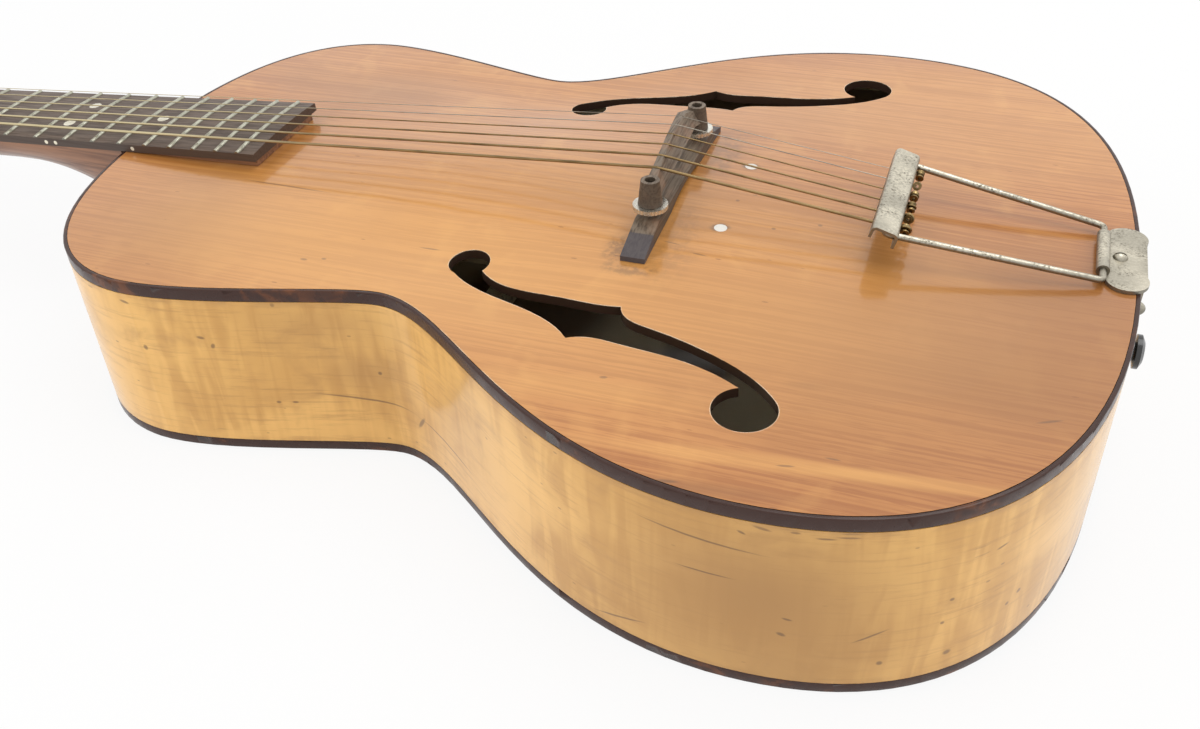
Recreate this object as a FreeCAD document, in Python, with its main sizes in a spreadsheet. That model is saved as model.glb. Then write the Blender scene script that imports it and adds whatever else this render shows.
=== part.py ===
"""Archtop guitar: hollow body with an arched, f-hole top, fourteen-fret neck,
geared tuners, height-adjustable bridge, trapeze tailpiece and six strings.

Frame: millimetres, +X towards the tail, +Y towards the treble side, +Z up.
X is zero where the scale ends, Y is zero on the centreline, and Z is zero on
the underside of the flat back.
"""
import math
import os

import FreeCAD
import Part
import Sketcher
from FreeCAD import Placement, Rotation, Vector

SIZES = {
    # whole instrument
    "scale_length": 628.65,
    "glue_gap": 0.15,
    "running_gap": 0.15,
    "cut_overrun": 2.0,
    # body outline, seen from above
    "body_length": 474.8,
    "upper_bout_width": 258.2,
    "waist_width": 213.6,
    "lower_bout_width": 367.4,
    "upper_bout_place": 75.7,
    "waist_place": 183.1,
    "lower_bout_place": 350.9,
    # body walls
    "body_depth": 86.0,
    "top_thickness": 4.2,
    "back_thickness": 3.6,
    "rib_thickness": 2.6,
    "binding_width": 1.9,
    "top_binding_height": 5.6,
    "back_binding_height": 5.0,
    "lining_width": 6.0,
    "lining_height": 13.0,
    "arch_height": 8.0,
    "arch_margin": 10.5,
    # f-holes
    "upper_eye_place": -69.2,
    "upper_eye_offset": 75.5,
    "upper_eye_radius": 8.8,
    "lower_eye_place": 63.0,
    "lower_eye_offset": 136.0,
    "lower_eye_radius": 12.0,
    # inside the body
    "neck_block_length": 48.0,
    "neck_block_width": 76.0,
    "tail_block_length": 22.0,
    "tail_block_width": 84.0,
    "tone_bar_length": 290.0,
    "tone_bar_width": 9.0,
    "tone_bar_height": 15.0,
    "tone_bar_offset": 42.0,
    "back_brace_width": 9.0,
    "back_brace_height": 13.0,
    "back_brace_tip": 5.0,
    # neck
    "neck_angle": 4.2,
    "neck_depth_at_nut": 15.6,
    "neck_depth_at_heel": 18.2,
    "heel_run": 80.0,
    "heel_lift": 5.0,
    "heel_overrun": 9.0,
    "riser_inset": 1.6,
    "riser_start": 8.0,
    "tenon_neck_width": 22.0,
    "tenon_end_width": 30.0,
    "tenon_length": 22.0,
    "tenon_lift": 26.0,
    "rod_width": 7.0,
    "rod_height": 9.0,
    "rod_length": 318.0,
    # fretboard
    "board_thickness": 5.2,
    "board_radius": 305.0,
    "board_overhang": 9.6,
    "nut_width": 43.0,
    "board_end_width": 58.0,
    "fret_width": 2.4,
    "fret_height": 0.95,
    "tang_width": 0.6,
    "tang_depth": 1.8,
    "dot_diameter": 6.2,
    "dot_depth": 1.2,
    "double_dot_spread": 21.0,
    "side_dot_diameter": 2.1,
    "side_dot_depth": 1.5,
    "side_dot_lift": 1.9,
    "double_side_dot_spread": 6.0,
    "nut_length": 5.0,
    "nut_rise": 2.4,
    "nut_slot_depth": 1.1,
    # headstock
    "head_angle": 9.0,
    "head_length": 166.0,
    "head_shoulder": 46.0,
    "head_width": 75.0,
    "head_tip_width": 64.0,
    "head_tip_rise": 9.0,
    "head_thickness": 14.0,
    "head_blend": 30.0,
    "overlay_thickness": 1.6,
    # tuners
    "first_post_place": 40.0,
    "post_spacing": 37.0,
    "post_spread": 45.0,
    "post_diameter": 6.0,
    "post_rise": 12.5,
    "post_waist": 0.6,
    "post_waist_rise": 2.5,
    "post_waist_length": 7.5,
    "ferrule_diameter": 9.0,
    "ferrule_depth": 6.0,
    "ferrule_flange_diameter": 11.4,
    "ferrule_flange_height": 1.2,
    "plate_thickness": 1.2,
    "plate_width": 18.0,
    "plate_round": 6.0,
    "plate_margin": 17.0,
    "gear_module": 0.8,
    "gear_thickness": 3.2,
    "gear_lift": 4.4,
    "gear_hub_diameter": 8.0,
    "gear_screw_diameter": 4.4,
    "gear_screw_height": 1.4,
    "gear_screw_slot": 0.8,
    "worm_root_radius": 2.1,
    "worm_tip_radius": 3.7,
    "worm_pitch_radius": 3.0,
    "worm_shaft_diameter": 2.8,
    "mesh_gap": 0.1,
    "lug_thickness": 1.5,
    "lug_width": 7.0,
    "lug_height": 7.6,
    "button_gap": 4.0,
    "button_length": 15.0,
    "button_width": 17.0,
    "button_thickness": 7.0,
    "button_round": 2.6,
    "button_collar_diameter": 6.0,
    "button_collar_length": 3.0,
    "plate_screw_head_diameter": 4.4,
    "plate_screw_head_height": 1.3,
    "plate_screw_diameter": 2.2,
    "plate_screw_length": 9.0,
    # bridge
    "bridge_place": -1.9,
    "bridge_width": 10.6,
    "bridge_length": 124.0,
    "bridge_shoulder": 82.0,
    "bridge_facet_spread": 98.0,
    "bridge_facet_drop": 2.2,
    "bridge_height": 5.4,
    "bridge_tip_height": 2.4,
    "bridge_arch_length": 44.0,
    "bridge_arch_height": 2.6,
    "bridge_post_spread": 73.0,
    "bridge_post_diameter": 4.0,
    "bridge_post_depth": 4.0,
    "bridge_post_length": 17.0,
    "wheel_diameter": 15.0,
    "wheel_thickness": 1.8,
    "wheel_lift": 3.4,
    "wheel_notch_radius": 0.3,
    "saddle_ear_diameter": 10.6,
    "saddle_ear_top_diameter": 8.0,
    "saddle_ear_height": 11.0,
    "saddle_foot_width": 8.4,
    "saddle_crest_width": 2.6,
    "saddle_underside": 4.0,
    "saddle_crest_lead": 3.0,
    "saddle_crest_overrun": 3.8,
    "saddle_slant": 5.0,
    # strings
    "string_height_at_saddle": 28.8,
    "string_crown": 1.0,
    "string_spread_at_nut": 36.0,
    "string_spread_at_saddle": 49.4,
    "string_spread_at_tail": 47.0,
    "string_bend_radius": 9.0,
    "wrap_gap": 0.6,
    "wrap_clearance": 0.15,
    "wrap_top_drop": 3.2,
    "ball_diameter": 3.8,
    "ball_length": 3.6,
    # tailpiece
    "tail_bar_place": 90.0,
    "tail_bar_rise": 21.2,
    "tail_bar_tilt": 17.0,
    "tail_bar_width": 70.0,
    "tail_bar_depth": 11.2,
    "tail_bar_sheet": 1.2,
    "tail_bar_bend": 2.2,
    "tail_bar_front_lip": 5.4,
    "tail_bar_rear_lip": 6.4,
    "tail_slot_width": 2.2,
    "tail_slot_lip": 2.0,
    "tail_wire_diameter": 2.8,
    "tail_wire_spread": 62.0,
    "tail_wire_end_spread": 43.0,
    "tail_wire_bend": 2.6,
    "tail_wire_hook": 5.0,
    "tail_wire_inset": 5.6,
    "tail_wire_drop": 3.8,
    "hinge_inset": 15.4,
    "hinge_rise": 3.1,
    "hinge_wall": 1.1,
    "hinge_length": 29.0,
    "hanger_thickness": 1.6,
    "hanger_width": 48.0,
    "hanger_leg_width": 26.0,
    "hanger_leg_tip_width": 18.0,
    "hanger_leg_length": 55.0,
    "hanger_screw_inset": 8.6,
    "hanger_leg_screw_drop": 21.0,
    "hanger_screw_head_diameter": 6.0,
    "hanger_screw_head_height": 2.2,
    "hanger_screw_diameter": 3.0,
    "hanger_screw_length": 16.0,
    "end_pin_drop": 42.5,
    "end_pin_shank_diameter": 8.0,
    "end_pin_shank_length": 22.0,
    "end_pin_collar_diameter": 11.0,
    "end_pin_neck_diameter": 8.6,
    "end_pin_head_diameter": 15.0,
    "end_pin_head_length": 4.0,
    "end_pin_neck_length": 4.0,
    # white plugs in the top
    "plug_place": 26.5,
    "plug_spread": 56.4,
    "plug_diameter": 5.6,
    "plug_depth": 2.2,
}

# string diameters, from the thinnest treble string to the thickest bass string
STRING_DIAMETERS = {
    "string_1_diameter": 0.30,
    "string_2_diameter": 0.41,
    "string_3_diameter": 0.61,
    "string_4_diameter": 0.81,
    "string_5_diameter": 1.07,
    "string_6_diameter": 1.32,
}
SIZES.update(STRING_DIAMETERS)

# counts
JOINT_FRET = 14
FRET_COUNT = 19
STRING_COUNT = 6
GEAR_TEETH = 14
WORM_TURNS = 3
WRAP_TURNS = 2
WHEEL_NOTCHES = 30
DOT_FRETS = (5, 7, 9, 12, 15)
DOUBLE_DOT_FRET = 12
ARCH_STEPS_LONG = 52
ARCH_STEPS_ACROSS = 40
OFFSET_POINTS = 16
HALVING_STEPS = 40
NECK_STEPS = 30
SECTION_STEPS = 8
HEEL_POWER = 2.4

# curve handles of the half outline, as shares of the stretch or width they follow
NECK_END_HANDLE_SHARE = 0.841
UPPER_BOUT_HANDLE_SHARES = (0.383, 0.327)
WAIST_HANDLE_SHARES = (0.169, 0.206)
LOWER_BOUT_HANDLE_SHARES = (0.523, 0.917)
TAIL_END_HANDLE_SHARE = 0.404
HEAD_FLARE_HANDLE_SHARE = 0.45

# f-hole edges, as shares of the distance between the eyes, along and across it
OUTER_UPPER_SHARES = ((0.117, 0.074), (0.273, 0.058), (0.398, 0.058))
OUTER_NICK_SHARE = (0.466, 0.077)
OUTER_LOWER_SHARES = ((0.50, 0.044), (0.599, 0.006), (0.754, -0.042))
INNER_NICK_SHARE = (0.490, -0.112)
INNER_UPPER_SHARES = ((0.153, 0.017), (0.332, -0.042), (0.45, -0.088))
INNER_LOWER_SHARES = ((0.520, -0.090), (0.624, -0.094), (0.823, -0.114))
# where the stems meet the eyes, in degrees round each eye
UPPER_EYE_TIP_ANGLE = 5.0
UPPER_EYE_TANGENT_ANGLE = 88.0
LOWER_EYE_TANGENT_ANGLE = -62.0
LOWER_EYE_TIP_ANGLE = -138.0

# gear tooth and worm thread, as shares of the tooth pitch or the module
TOOTH_ROOT_SHARE = 0.44
TOOTH_TIP_SHARE = 0.20
THREAD_ROOT_SHARE = 0.44
THREAD_TIP_SHARE = 0.17
TOOTH_RISE_SHARE = 1.0
TOOTH_FALL_SHARE = 1.25

# plate screws along the row of posts, as shares of the post spacing
PLATE_SCREW_SHARES = (-0.5, 0.5, 1.5, 2.5)
# how far the saddle's foot follows its crest towards the neck
FOOT_LEAD_SHARE = 0.5
# how straight a run must be to need no arc, and how true a swept volume must be
STRAIGHT_RUN_SHARE = 1e-9
SWEEP_ERROR_SHARE = 0.02

doc = FreeCAD.newDocument("ArchtopGuitar")
sheet = doc.addObject("Spreadsheet::Sheet", "Sizes")
for row, (alias, value) in enumerate(SIZES.items(), start=1):
    sheet.set("A%d" % row, alias)
    sheet.set("B%d" % row, repr(value))
    sheet.setAlias("B%d" % row, alias)
doc.recompute()


class SheetReader:
    """Reads the driving dimensions back from the sheet by their aliases."""

    def __getattr__(self, alias):
        return float(sheet.get(alias))


s = SheetReader()
nodes = []

X_AXIS = Vector(1, 0, 0)
Y_AXIS = Vector(0, 1, 0)
Z_AXIS = Vector(0, 0, 1)

# places worked out from the driving dimensions
joint_x = -s.scale_length * 2 ** (-JOINT_FRET / 12)
tail_x = joint_x + s.body_length
rim_z = s.body_depth
under_top_z = rim_z - s.top_thickness
nut_x = -(s.scale_length + joint_x)
nut_back_x = nut_x - s.nut_length
board_end_x = -joint_x - s.scale_length * 2 ** (-FRET_COUNT / 12) + s.board_overhang

neck_frame = Placement(Vector(joint_x, 0, rim_z), Rotation(Y_AXIS, -s.neck_angle))
head_frame = neck_frame.multiply(
    Placement(Vector(nut_back_x, 0, 0), Rotation(Y_AXIS, -s.head_angle)))
tail_frame = Placement(
    Vector(s.tail_bar_place, 0, rim_z + s.tail_bar_rise), Rotation(Y_AXIS, s.tail_bar_tilt))


# document helpers

def add_node(label, shape, placement=None):
    """Adds a finished shape, made in the frame of its placement, as a node."""
    node = doc.addObject("Part::Feature", label)
    node.Label = label
    node.Shape = shape
    node.Placement = placement or Placement()
    nodes.append(node)
    return node


def keep_node(label, made):
    """Names a parametric object as one of the nodes to export."""
    made.Label = label
    nodes.append(made)
    return made


def add_part(kind, name, placement=None, **expressions):
    """Adds a parametric primitive whose properties follow the sheet."""
    made = doc.addObject("Part::" + kind, name)
    made.Placement = placement or Placement()
    for prop, expression in expressions.items():
        made.setExpression(prop, expression)
    return made


def hidden_shape(name, shape):
    """Adds a construction volume that other objects are trimmed with."""
    made = doc.addObject("Part::Feature", name)
    made.Shape = shape
    return made


def boolean(kind, name, base, tool):
    """Adds a two-object boolean and brings it up to date."""
    made = doc.addObject("Part::" + kind, name)
    made.Base = base
    made.Tool = tool
    doc.recompute()
    return made


def origin_plane(body, role):
    """Finds one of a body's own origin planes."""
    return next(item for item in body.Origin.OriginFeatures if item.Role == role)


def new_sketch(body, name, role):
    """Adds an empty sketch on one of the body's origin planes."""
    sketch = body.newObject("Sketcher::SketchObject", name)
    sketch.AttachmentSupport = [(origin_plane(body, role), "")]
    sketch.MapMode = "FlatFace"
    return sketch


def lock_point(sketch, geometry, end, place):
    """Ties a sketch point to the sheet with one expression per direction."""
    for kind, expression in zip(("DistanceX", "DistanceY"), place):
        value = float(sketch.evalExpression(expression))
        index = sketch.addConstraint(
            Sketcher.Constraint(kind, -1, 1, geometry, end, value))
        sketch.setExpression("Constraints[%d]" % index, expression)


def add_polygon(sketch, places):
    """Draws a closed polygon whose corners are pairs of expressions."""
    corners = [Vector(*(float(sketch.evalExpression(text)) for text in place)) for place in places]
    lines = []
    for start, end in zip(corners, corners[1:] + corners[:1]):
        lines.append(sketch.addGeometry(Part.LineSegment(start, end), False))
    for line, following in zip(lines, lines[1:] + lines[:1]):
        sketch.addConstraint(Sketcher.Constraint("Coincident", line, 2, following, 1))
    for line, place in zip(lines, places):
        lock_point(sketch, line, 1, place)


def add_circle(sketch, place, diameter):
    """Draws a circle whose centre and diameter are expressions."""
    centre = Vector(*(float(sketch.evalExpression(text)) for text in place))
    size = float(sketch.evalExpression(diameter))
    circle = sketch.addGeometry(Part.Circle(centre, Z_AXIS, size / 2), False)
    lock_point(sketch, circle, 3, place)
    index = sketch.addConstraint(Sketcher.Constraint("Diameter", circle, size))
    sketch.setExpression("Constraints[%d]" % index, diameter)


def add_feature(body, kind, name, sketch, **settings):
    """Adds a sketch-based feature; text settings are expressions."""
    feature = body.newObject("PartDesign::" + kind, name)
    feature.Profile = sketch
    for prop, setting in settings.items():
        if isinstance(setting, str):
            feature.setExpression(prop, setting)
        else:
            setattr(feature, prop, setting)
    doc.recompute()
    return feature


def new_body(name, placement=None):
    """Adds a part design body at its place."""
    body = doc.addObject("PartDesign::Body", name)
    body.Placement = placement or Placement()
    return body


# shape helpers

def box_between(low, high):
    """Makes a box from its lowest to its highest corner."""
    span = high - low
    return Part.makeBox(span.x, span.y, span.z, low)


def prism(wire, low_z, high_z):
    """Extrudes a flat wire drawn at zero height between two heights."""
    face = Part.Face(wire)
    face.translate(Vector(0, 0, low_z))
    return face.extrude(Vector(0, 0, high_z - low_z))


def in_frame(shape, frame):
    """Gives a shape's geometry as seen from a frame."""
    return shape.transformed(frame.inverse().toMatrix(), True)


def spline_edge(points):
    """Makes a smooth edge through the given points."""
    curve = Part.BSplineCurve()
    curve.interpolate(points)
    return curve.toShape()


def arc_edge(start, tangent, end):
    """Makes the arc that leaves the start along the tangent and reaches the end."""
    chord = end - start
    along = Vector(chord).normalize()
    side = tangent - along * tangent.dot(along)
    if side.Length < STRAIGHT_RUN_SHARE:
        return Part.LineSegment(start, end).toShape()
    lean = tangent.getAngle(along)
    middle = (start + end) * 0.5 + side.normalize() * (chord.Length / 2 * math.tan(lean / 2))
    return Part.Arc(start, middle, end).toShape()


def biarc_edges(start, start_tangent, end, end_tangent):
    """Joins two directed points by two arcs that run smoothly into each other."""
    chord = end - start
    tangents = start_tangent + end_tangent
    spread = 2 * (1 - start_tangent.dot(end_tangent))
    lead = chord.dot(tangents)
    reach = (math.sqrt(lead ** 2 + spread * chord.dot(chord)) - lead) / spread
    middle = (start + start_tangent * reach + end - end_tangent * reach) * 0.5
    second = arc_edge(end, end_tangent * -1, middle)
    return [arc_edge(start, start_tangent, middle), second]


def rounded_path(points, radius):
    """Joins points by straight runs with a tangent arc at each inner point."""
    edges = []
    start = points[0]
    for before, corner, after in zip(points, points[1:], points[2:]):
        back = (before - corner).normalize()
        ahead = (after - corner).normalize()
        turn = math.pi - back.getAngle(ahead)
        trim = radius * math.tan(turn / 2)
        arc_start = corner + back * trim
        arc_end = corner + ahead * trim
        edges.append(Part.LineSegment(start, arc_start).toShape())
        edges.append(arc_edge(arc_start, back * -1, arc_end))
        start = arc_end
    edges.append(Part.LineSegment(start, points[-1]).toShape())
    return edges


def tube_along(edges, diameter):
    """Sweeps a round section along smoothly joined edges."""
    path = Part.Wire(edges)
    first = edges[0]
    start = first.valueAt(first.FirstParameter)
    tangent = first.tangentAt(first.FirstParameter)
    section = Part.Wire(Part.makeCircle(diameter / 2, start, tangent))
    tube = path.makePipeShell([section], True, False)
    wanted = math.pi * (diameter / 2) ** 2 * path.Length
    if abs(tube.Volume - wanted) > SWEEP_ERROR_SHARE * wanted:
        raise ValueError("tube volume %.2f is not %.2f" % (tube.Volume, wanted))
    return tube


# body outline

def outline_segments():
    """Gives the four cubic curves of the half outline, from neck to tail."""
    upper = s.upper_bout_width / 2
    waist = s.waist_width / 2
    lower = s.lower_bout_width / 2
    upper_x = joint_x + s.upper_bout_place
    waist_x = joint_x + s.waist_place
    lower_x = joint_x + s.lower_bout_place
    before, after = UPPER_BOUT_HANDLE_SHARES
    waist_before, waist_after = WAIST_HANDLE_SHARES
    lower_before, lower_after = LOWER_BOUT_HANDLE_SHARES
    neck_run = upper_x - joint_x
    upper_run = waist_x - upper_x
    lower_run = lower_x - waist_x
    tail_run = tail_x - lower_x
    return [
        [Vector(joint_x, 0), Vector(joint_x, upper * NECK_END_HANDLE_SHARE),
         Vector(upper_x - neck_run * before, upper), Vector(upper_x, upper)],
        [Vector(upper_x, upper), Vector(upper_x + upper_run * after, upper),
         Vector(waist_x - upper_run * waist_before, waist), Vector(waist_x, waist)],
        [Vector(waist_x, waist), Vector(waist_x + lower_run * waist_after, waist),
         Vector(lower_x - lower_run * lower_before, lower), Vector(lower_x, lower)],
        [Vector(lower_x, lower), Vector(lower_x + tail_run * lower_after, lower),
         Vector(tail_x, lower * TAIL_END_HANDLE_SHARE), Vector(tail_x, 0)],
    ]


def bezier(poles):
    """Makes a cubic curve from its four poles."""
    curve = Part.BezierCurve()
    curve.setPoles(poles)
    return curve


outline_curves = [bezier(poles) for poles in outline_segments()]


def offset_point(curve, share, inset):
    """Gives a point of an outline curve, moved inwards."""
    tangent = curve.tangent(share)[0]
    inwards = Vector(tangent.y, -tangent.x, 0)
    return curve.value(share) + inwards * inset


def outline_wire(inset):
    """Makes the closed body outline, moved inwards by the inset."""
    treble = []
    for curve in outline_curves:
        shares = [step / OFFSET_POINTS for step in range(OFFSET_POINTS + 1)]
        treble.append(spline_edge([offset_point(curve, share, inset) for share in shares]))
    bass = [edge.mirror(Vector(0, 0, 0), Y_AXIS) for edge in treble]
    return Part.Wire(Part.__sortEdges__(treble + bass))


def half_width(x):
    """Gives half the body's width at a place along it."""
    if x <= joint_x or x >= tail_x:
        return 0.0
    for curve in outline_curves:
        if curve.value(1).x >= x:
            low, high = 0.0, 1.0
            for step in range(HALVING_STEPS):
                middle = (low + high) / 2
                if curve.value(middle).x < x:
                    low = middle
                else:
                    high = middle
            return curve.value((low + high) / 2).y
    return 0.0


def arch_rise(x, y):
    """Gives the height of the arched top over its rim."""
    centre = (joint_x + tail_x) / 2
    along = (x - centre) / (s.body_length / 2 - s.arch_margin)
    reach = half_width(x) - s.arch_margin
    if abs(along) >= 1 or abs(y) >= reach:
        return 0.0
    across = y / reach
    return s.arch_height * (1 - along ** 2) ** 2 * (1 - across ** 2) ** 3


def arch_face(lift):
    """Makes the smooth face of the arched top, moved up by the lift."""
    margin = s.arch_margin
    step_x = (s.body_length + 2 * margin) / ARCH_STEPS_LONG
    step_y = (s.lower_bout_width + 2 * margin) / ARCH_STEPS_ACROSS
    rows = []
    for i in range(ARCH_STEPS_LONG + 1):
        x = joint_x - margin + i * step_x
        row = []
        for j in range(ARCH_STEPS_ACROSS + 1):
            y = -s.lower_bout_width / 2 - margin + j * step_y
            row.append(Vector(x, y, rim_z + lift + arch_rise(x, y)))
        rows.append(row)
    surface = Part.BSplineSurface()
    surface.interpolate(rows)
    return surface.toShape()


outer_wire = outline_wire(0)
plate_wire = outline_wire(s.binding_width)
inner_wire = outline_wire(s.rib_thickness)
lining_wire = outline_wire(s.rib_thickness + s.lining_width)
room_wire = outline_wire(s.rib_thickness + s.glue_gap)

below_arch = arch_face(-s.top_thickness - s.glue_gap).extrude(Vector(0, 0, -s.body_depth / 2))
above_arch = arch_face(s.glue_gap).extrude(Vector(0, 0, s.body_depth / 2))
top_sheet = arch_face(0).extrude(Vector(0, 0, -s.top_thickness))


# body

def f_hole_wire(side):
    """Draws one f-hole; the side is 1 for treble and -1 for bass."""
    upper = Vector(s.upper_eye_place, s.upper_eye_offset)
    lower = Vector(s.lower_eye_place, s.lower_eye_offset)
    span = lower - upper
    across = Vector(-span.y, span.x)
    lean = math.degrees(math.atan2(span.y, span.x))

    def place(share):
        return upper + span * share[0] + across * share[1]

    def on_eye(centre, radius, angle):
        turned = math.radians(angle + lean)
        return centre + Vector(math.cos(turned), math.sin(turned)) * radius

    upper_tip = on_eye(upper, s.upper_eye_radius, UPPER_EYE_TIP_ANGLE)
    upper_end = on_eye(upper, s.upper_eye_radius, UPPER_EYE_TANGENT_ANGLE)
    upper_far = on_eye(
        upper, s.upper_eye_radius, (UPPER_EYE_TIP_ANGLE + UPPER_EYE_TANGENT_ANGLE) / 2 + 180)
    lower_tip = on_eye(lower, s.lower_eye_radius, LOWER_EYE_TIP_ANGLE)
    lower_end = on_eye(lower, s.lower_eye_radius, LOWER_EYE_TANGENT_ANGLE)
    lower_far = on_eye(
        lower, s.lower_eye_radius, (LOWER_EYE_TIP_ANGLE + LOWER_EYE_TANGENT_ANGLE) / 2 + 180)
    outer_nick = place(OUTER_NICK_SHARE)
    inner_nick = place(INNER_NICK_SHARE)
    edges = [
        Part.Arc(upper_tip, upper_far, upper_end).toShape(),
        spline_edge([upper_end] + [place(share) for share in OUTER_UPPER_SHARES] + [outer_nick]),
        spline_edge([outer_nick] + [place(share) for share in OUTER_LOWER_SHARES] + [lower_tip]),
        Part.Arc(lower_tip, lower_far, lower_end).toShape(),
        spline_edge([inner_nick] + [place(share) for share in INNER_LOWER_SHARES] + [lower_end]),
        spline_edge([upper_tip] + [place(share) for share in INNER_UPPER_SHARES] + [inner_nick]),
    ]
    if side < 0:
        edges = [edge.mirror(Vector(0, 0, 0), Y_AXIS) for edge in edges]
    return Part.Wire(Part.__sortEdges__(edges))


def plug_blank(side):
    """Makes the round blank of one plug, tall enough to pass the arch."""
    rise = arch_rise(s.plug_place, s.plug_spread / 2)
    place = Vector(s.plug_place, side * s.plug_spread / 2, rim_z + rise - s.plug_depth)
    return Part.makeCylinder(s.plug_diameter / 2, s.plug_depth + s.cut_overrun, place)


def make_top():
    """Arched plate with two f-holes, and the two plugs set flush in it."""
    cut_low = under_top_z - s.cut_overrun
    cut_high = rim_z + s.arch_height + s.cut_overrun
    sheet_trimmed = top_sheet.common(prism(plate_wire, cut_low, cut_high))
    plugs = [plug_blank(side).common(sheet_trimmed) for side in (-1, 1)]
    holes = [prism(f_hole_wire(side), cut_low, cut_high) for side in (-1, 1)]
    plug_rooms = [plug_blank(side) for side in (-1, 1)]
    plate = sheet_trimmed.cut(holes + plug_rooms + [hanger_screw_rooms()])
    add_node("top_plate", plate)
    add_node("top_plugs", Part.makeCompound(plugs))


def make_ribs():
    """Two bent sides with rabbets for the bindings, open for the neck tenon."""
    ring = prism(outer_wire, 0, rim_z).cut(prism(inner_wire, 0, rim_z))
    lost = prism(outer_wire, 0, rim_z).cut(prism(plate_wire, 0, rim_z))
    top_low = rim_z - s.top_binding_height
    above = box_between(Vector(joint_x - s.cut_overrun, -s.lower_bout_width, top_low),
                        Vector(tail_x + s.cut_overrun, s.lower_bout_width, rim_z))
    below = box_between(Vector(joint_x - s.cut_overrun, -s.lower_bout_width, 0),
                        Vector(tail_x + s.cut_overrun, s.lower_bout_width, s.back_binding_height))
    top_strip = lost.common(above)
    back_strip = lost.common(below)
    add_node("top_binding", top_strip.cut(tenon_room()))
    add_node("back_binding", back_strip)
    wall_low = s.back_thickness + s.glue_gap
    wall_high = under_top_z - s.glue_gap
    wall = ring.common(box_between(
        Vector(joint_x - s.cut_overrun, -s.lower_bout_width, wall_low),
        Vector(tail_x + s.cut_overrun, s.lower_bout_width, wall_high)))
    wall = wall.cut([top_strip, back_strip, tenon_room(), end_pin_room(), hanger_screw_rooms()])
    for label, low_y, high_y in (("rib_bass", -s.lower_bout_width, 0),
                                 ("rib_treble", 0, s.lower_bout_width)):
        half = box_between(Vector(joint_x - s.cut_overrun, low_y, 0),
                           Vector(tail_x + s.cut_overrun, high_y, rim_z))
        add_node(label, wall.common(half))


def make_linings():
    """Glue strips inside the corners, between the end blocks."""
    for label, low_z, high_z in (
            ("top_lining", under_top_z - s.glue_gap - s.lining_height, under_top_z - s.glue_gap),
            ("back_lining", s.back_thickness + s.glue_gap,
             s.back_thickness + s.glue_gap + s.lining_height)):
        strip = prism(room_wire, low_z, high_z).cut(prism(lining_wire, low_z, high_z))
        ends = [
            block_room(joint_x, joint_x + s.neck_block_length, s.neck_block_width),
            block_room(tail_x - s.tail_block_length, tail_x, s.tail_block_width),
        ]
        add_node(label, strip.cut(ends))


def block_room(low_x, high_x, width):
    """Gives the space that an end block takes from the linings."""
    return box_between(
        Vector(low_x - s.cut_overrun, -width / 2 - s.glue_gap, 0),
        Vector(high_x + s.cut_overrun, width / 2 + s.glue_gap, rim_z))


def make_back():
    """Flat back plate inside its binding."""
    add_node("back_plate", prism(plate_wire, 0, s.back_thickness))


def tenon_shape(gap):
    """Makes the dovetail tenon of the neck, grown by a gap."""
    neck_half = s.tenon_neck_width / 2 + gap
    end_half = s.tenon_end_width / 2 + gap
    end_x = joint_x + s.tenon_length + gap
    corners = [Vector(joint_x, -neck_half), Vector(end_x, -end_half),
               Vector(end_x, end_half), Vector(joint_x, neck_half)]
    wire = Part.makePolygon(corners + corners[:1])
    return prism(wire, s.tenon_lift - gap, under_top_z - 2 * s.glue_gap + gap)


def tenon_room():
    """Gives the mortise that takes the tenon, open towards the neck."""
    room = tenon_shape(s.glue_gap)
    mouth = box_between(
        Vector(joint_x - s.cut_overrun, -s.tenon_neck_width / 2 - s.glue_gap,
               s.tenon_lift - s.glue_gap),
        Vector(joint_x + s.rib_thickness, s.tenon_neck_width / 2 + s.glue_gap,
               under_top_z - s.glue_gap))
    return room.fuse(mouth)


def end_pin_room():
    """Gives the hole for the end pin through the ribs and the tail block."""
    start = Vector(tail_x + s.cut_overrun, 0, rim_z - s.end_pin_drop)
    return Part.makeCylinder(
        s.end_pin_shank_diameter / 2, s.end_pin_shank_length + s.cut_overrun, start, X_AXIS * -1)


def make_blocks():
    """Neck block with its mortise, and tail block with the end pin's hole."""
    room = hidden_shape("BodyRoom", prism(
        room_wire, s.back_thickness + s.glue_gap, under_top_z - s.glue_gap))
    neck_blank = add_part("Box", "NeckBlockBlank", Length="Sizes.neck_block_length",
                          Width="Sizes.neck_block_width", Height="Sizes.body_depth")
    neck_blank.Placement.Base = Vector(joint_x, -s.neck_block_width / 2, 0)
    tail_blank = add_part("Box", "TailBlockBlank", Length="Sizes.tail_block_length",
                          Width="Sizes.tail_block_width", Height="Sizes.body_depth")
    tail_blank.Placement.Base = Vector(tail_x - s.tail_block_length, -s.tail_block_width / 2, 0)
    mortise = hidden_shape("Mortise", tenon_room())
    pin_hole = hidden_shape("EndPinHole", end_pin_room().fuse(hanger_screw_rooms()))
    neck_fit = boolean("Common", "NeckBlockFit", neck_blank, room)
    tail_fit = boolean("Common", "TailBlockFit", tail_blank, room)
    keep_node("neck_block", boolean("Cut", "NeckBlock", neck_fit, mortise))
    keep_node("tail_block", boolean("Cut", "TailBlock", tail_fit, pin_hole))


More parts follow.
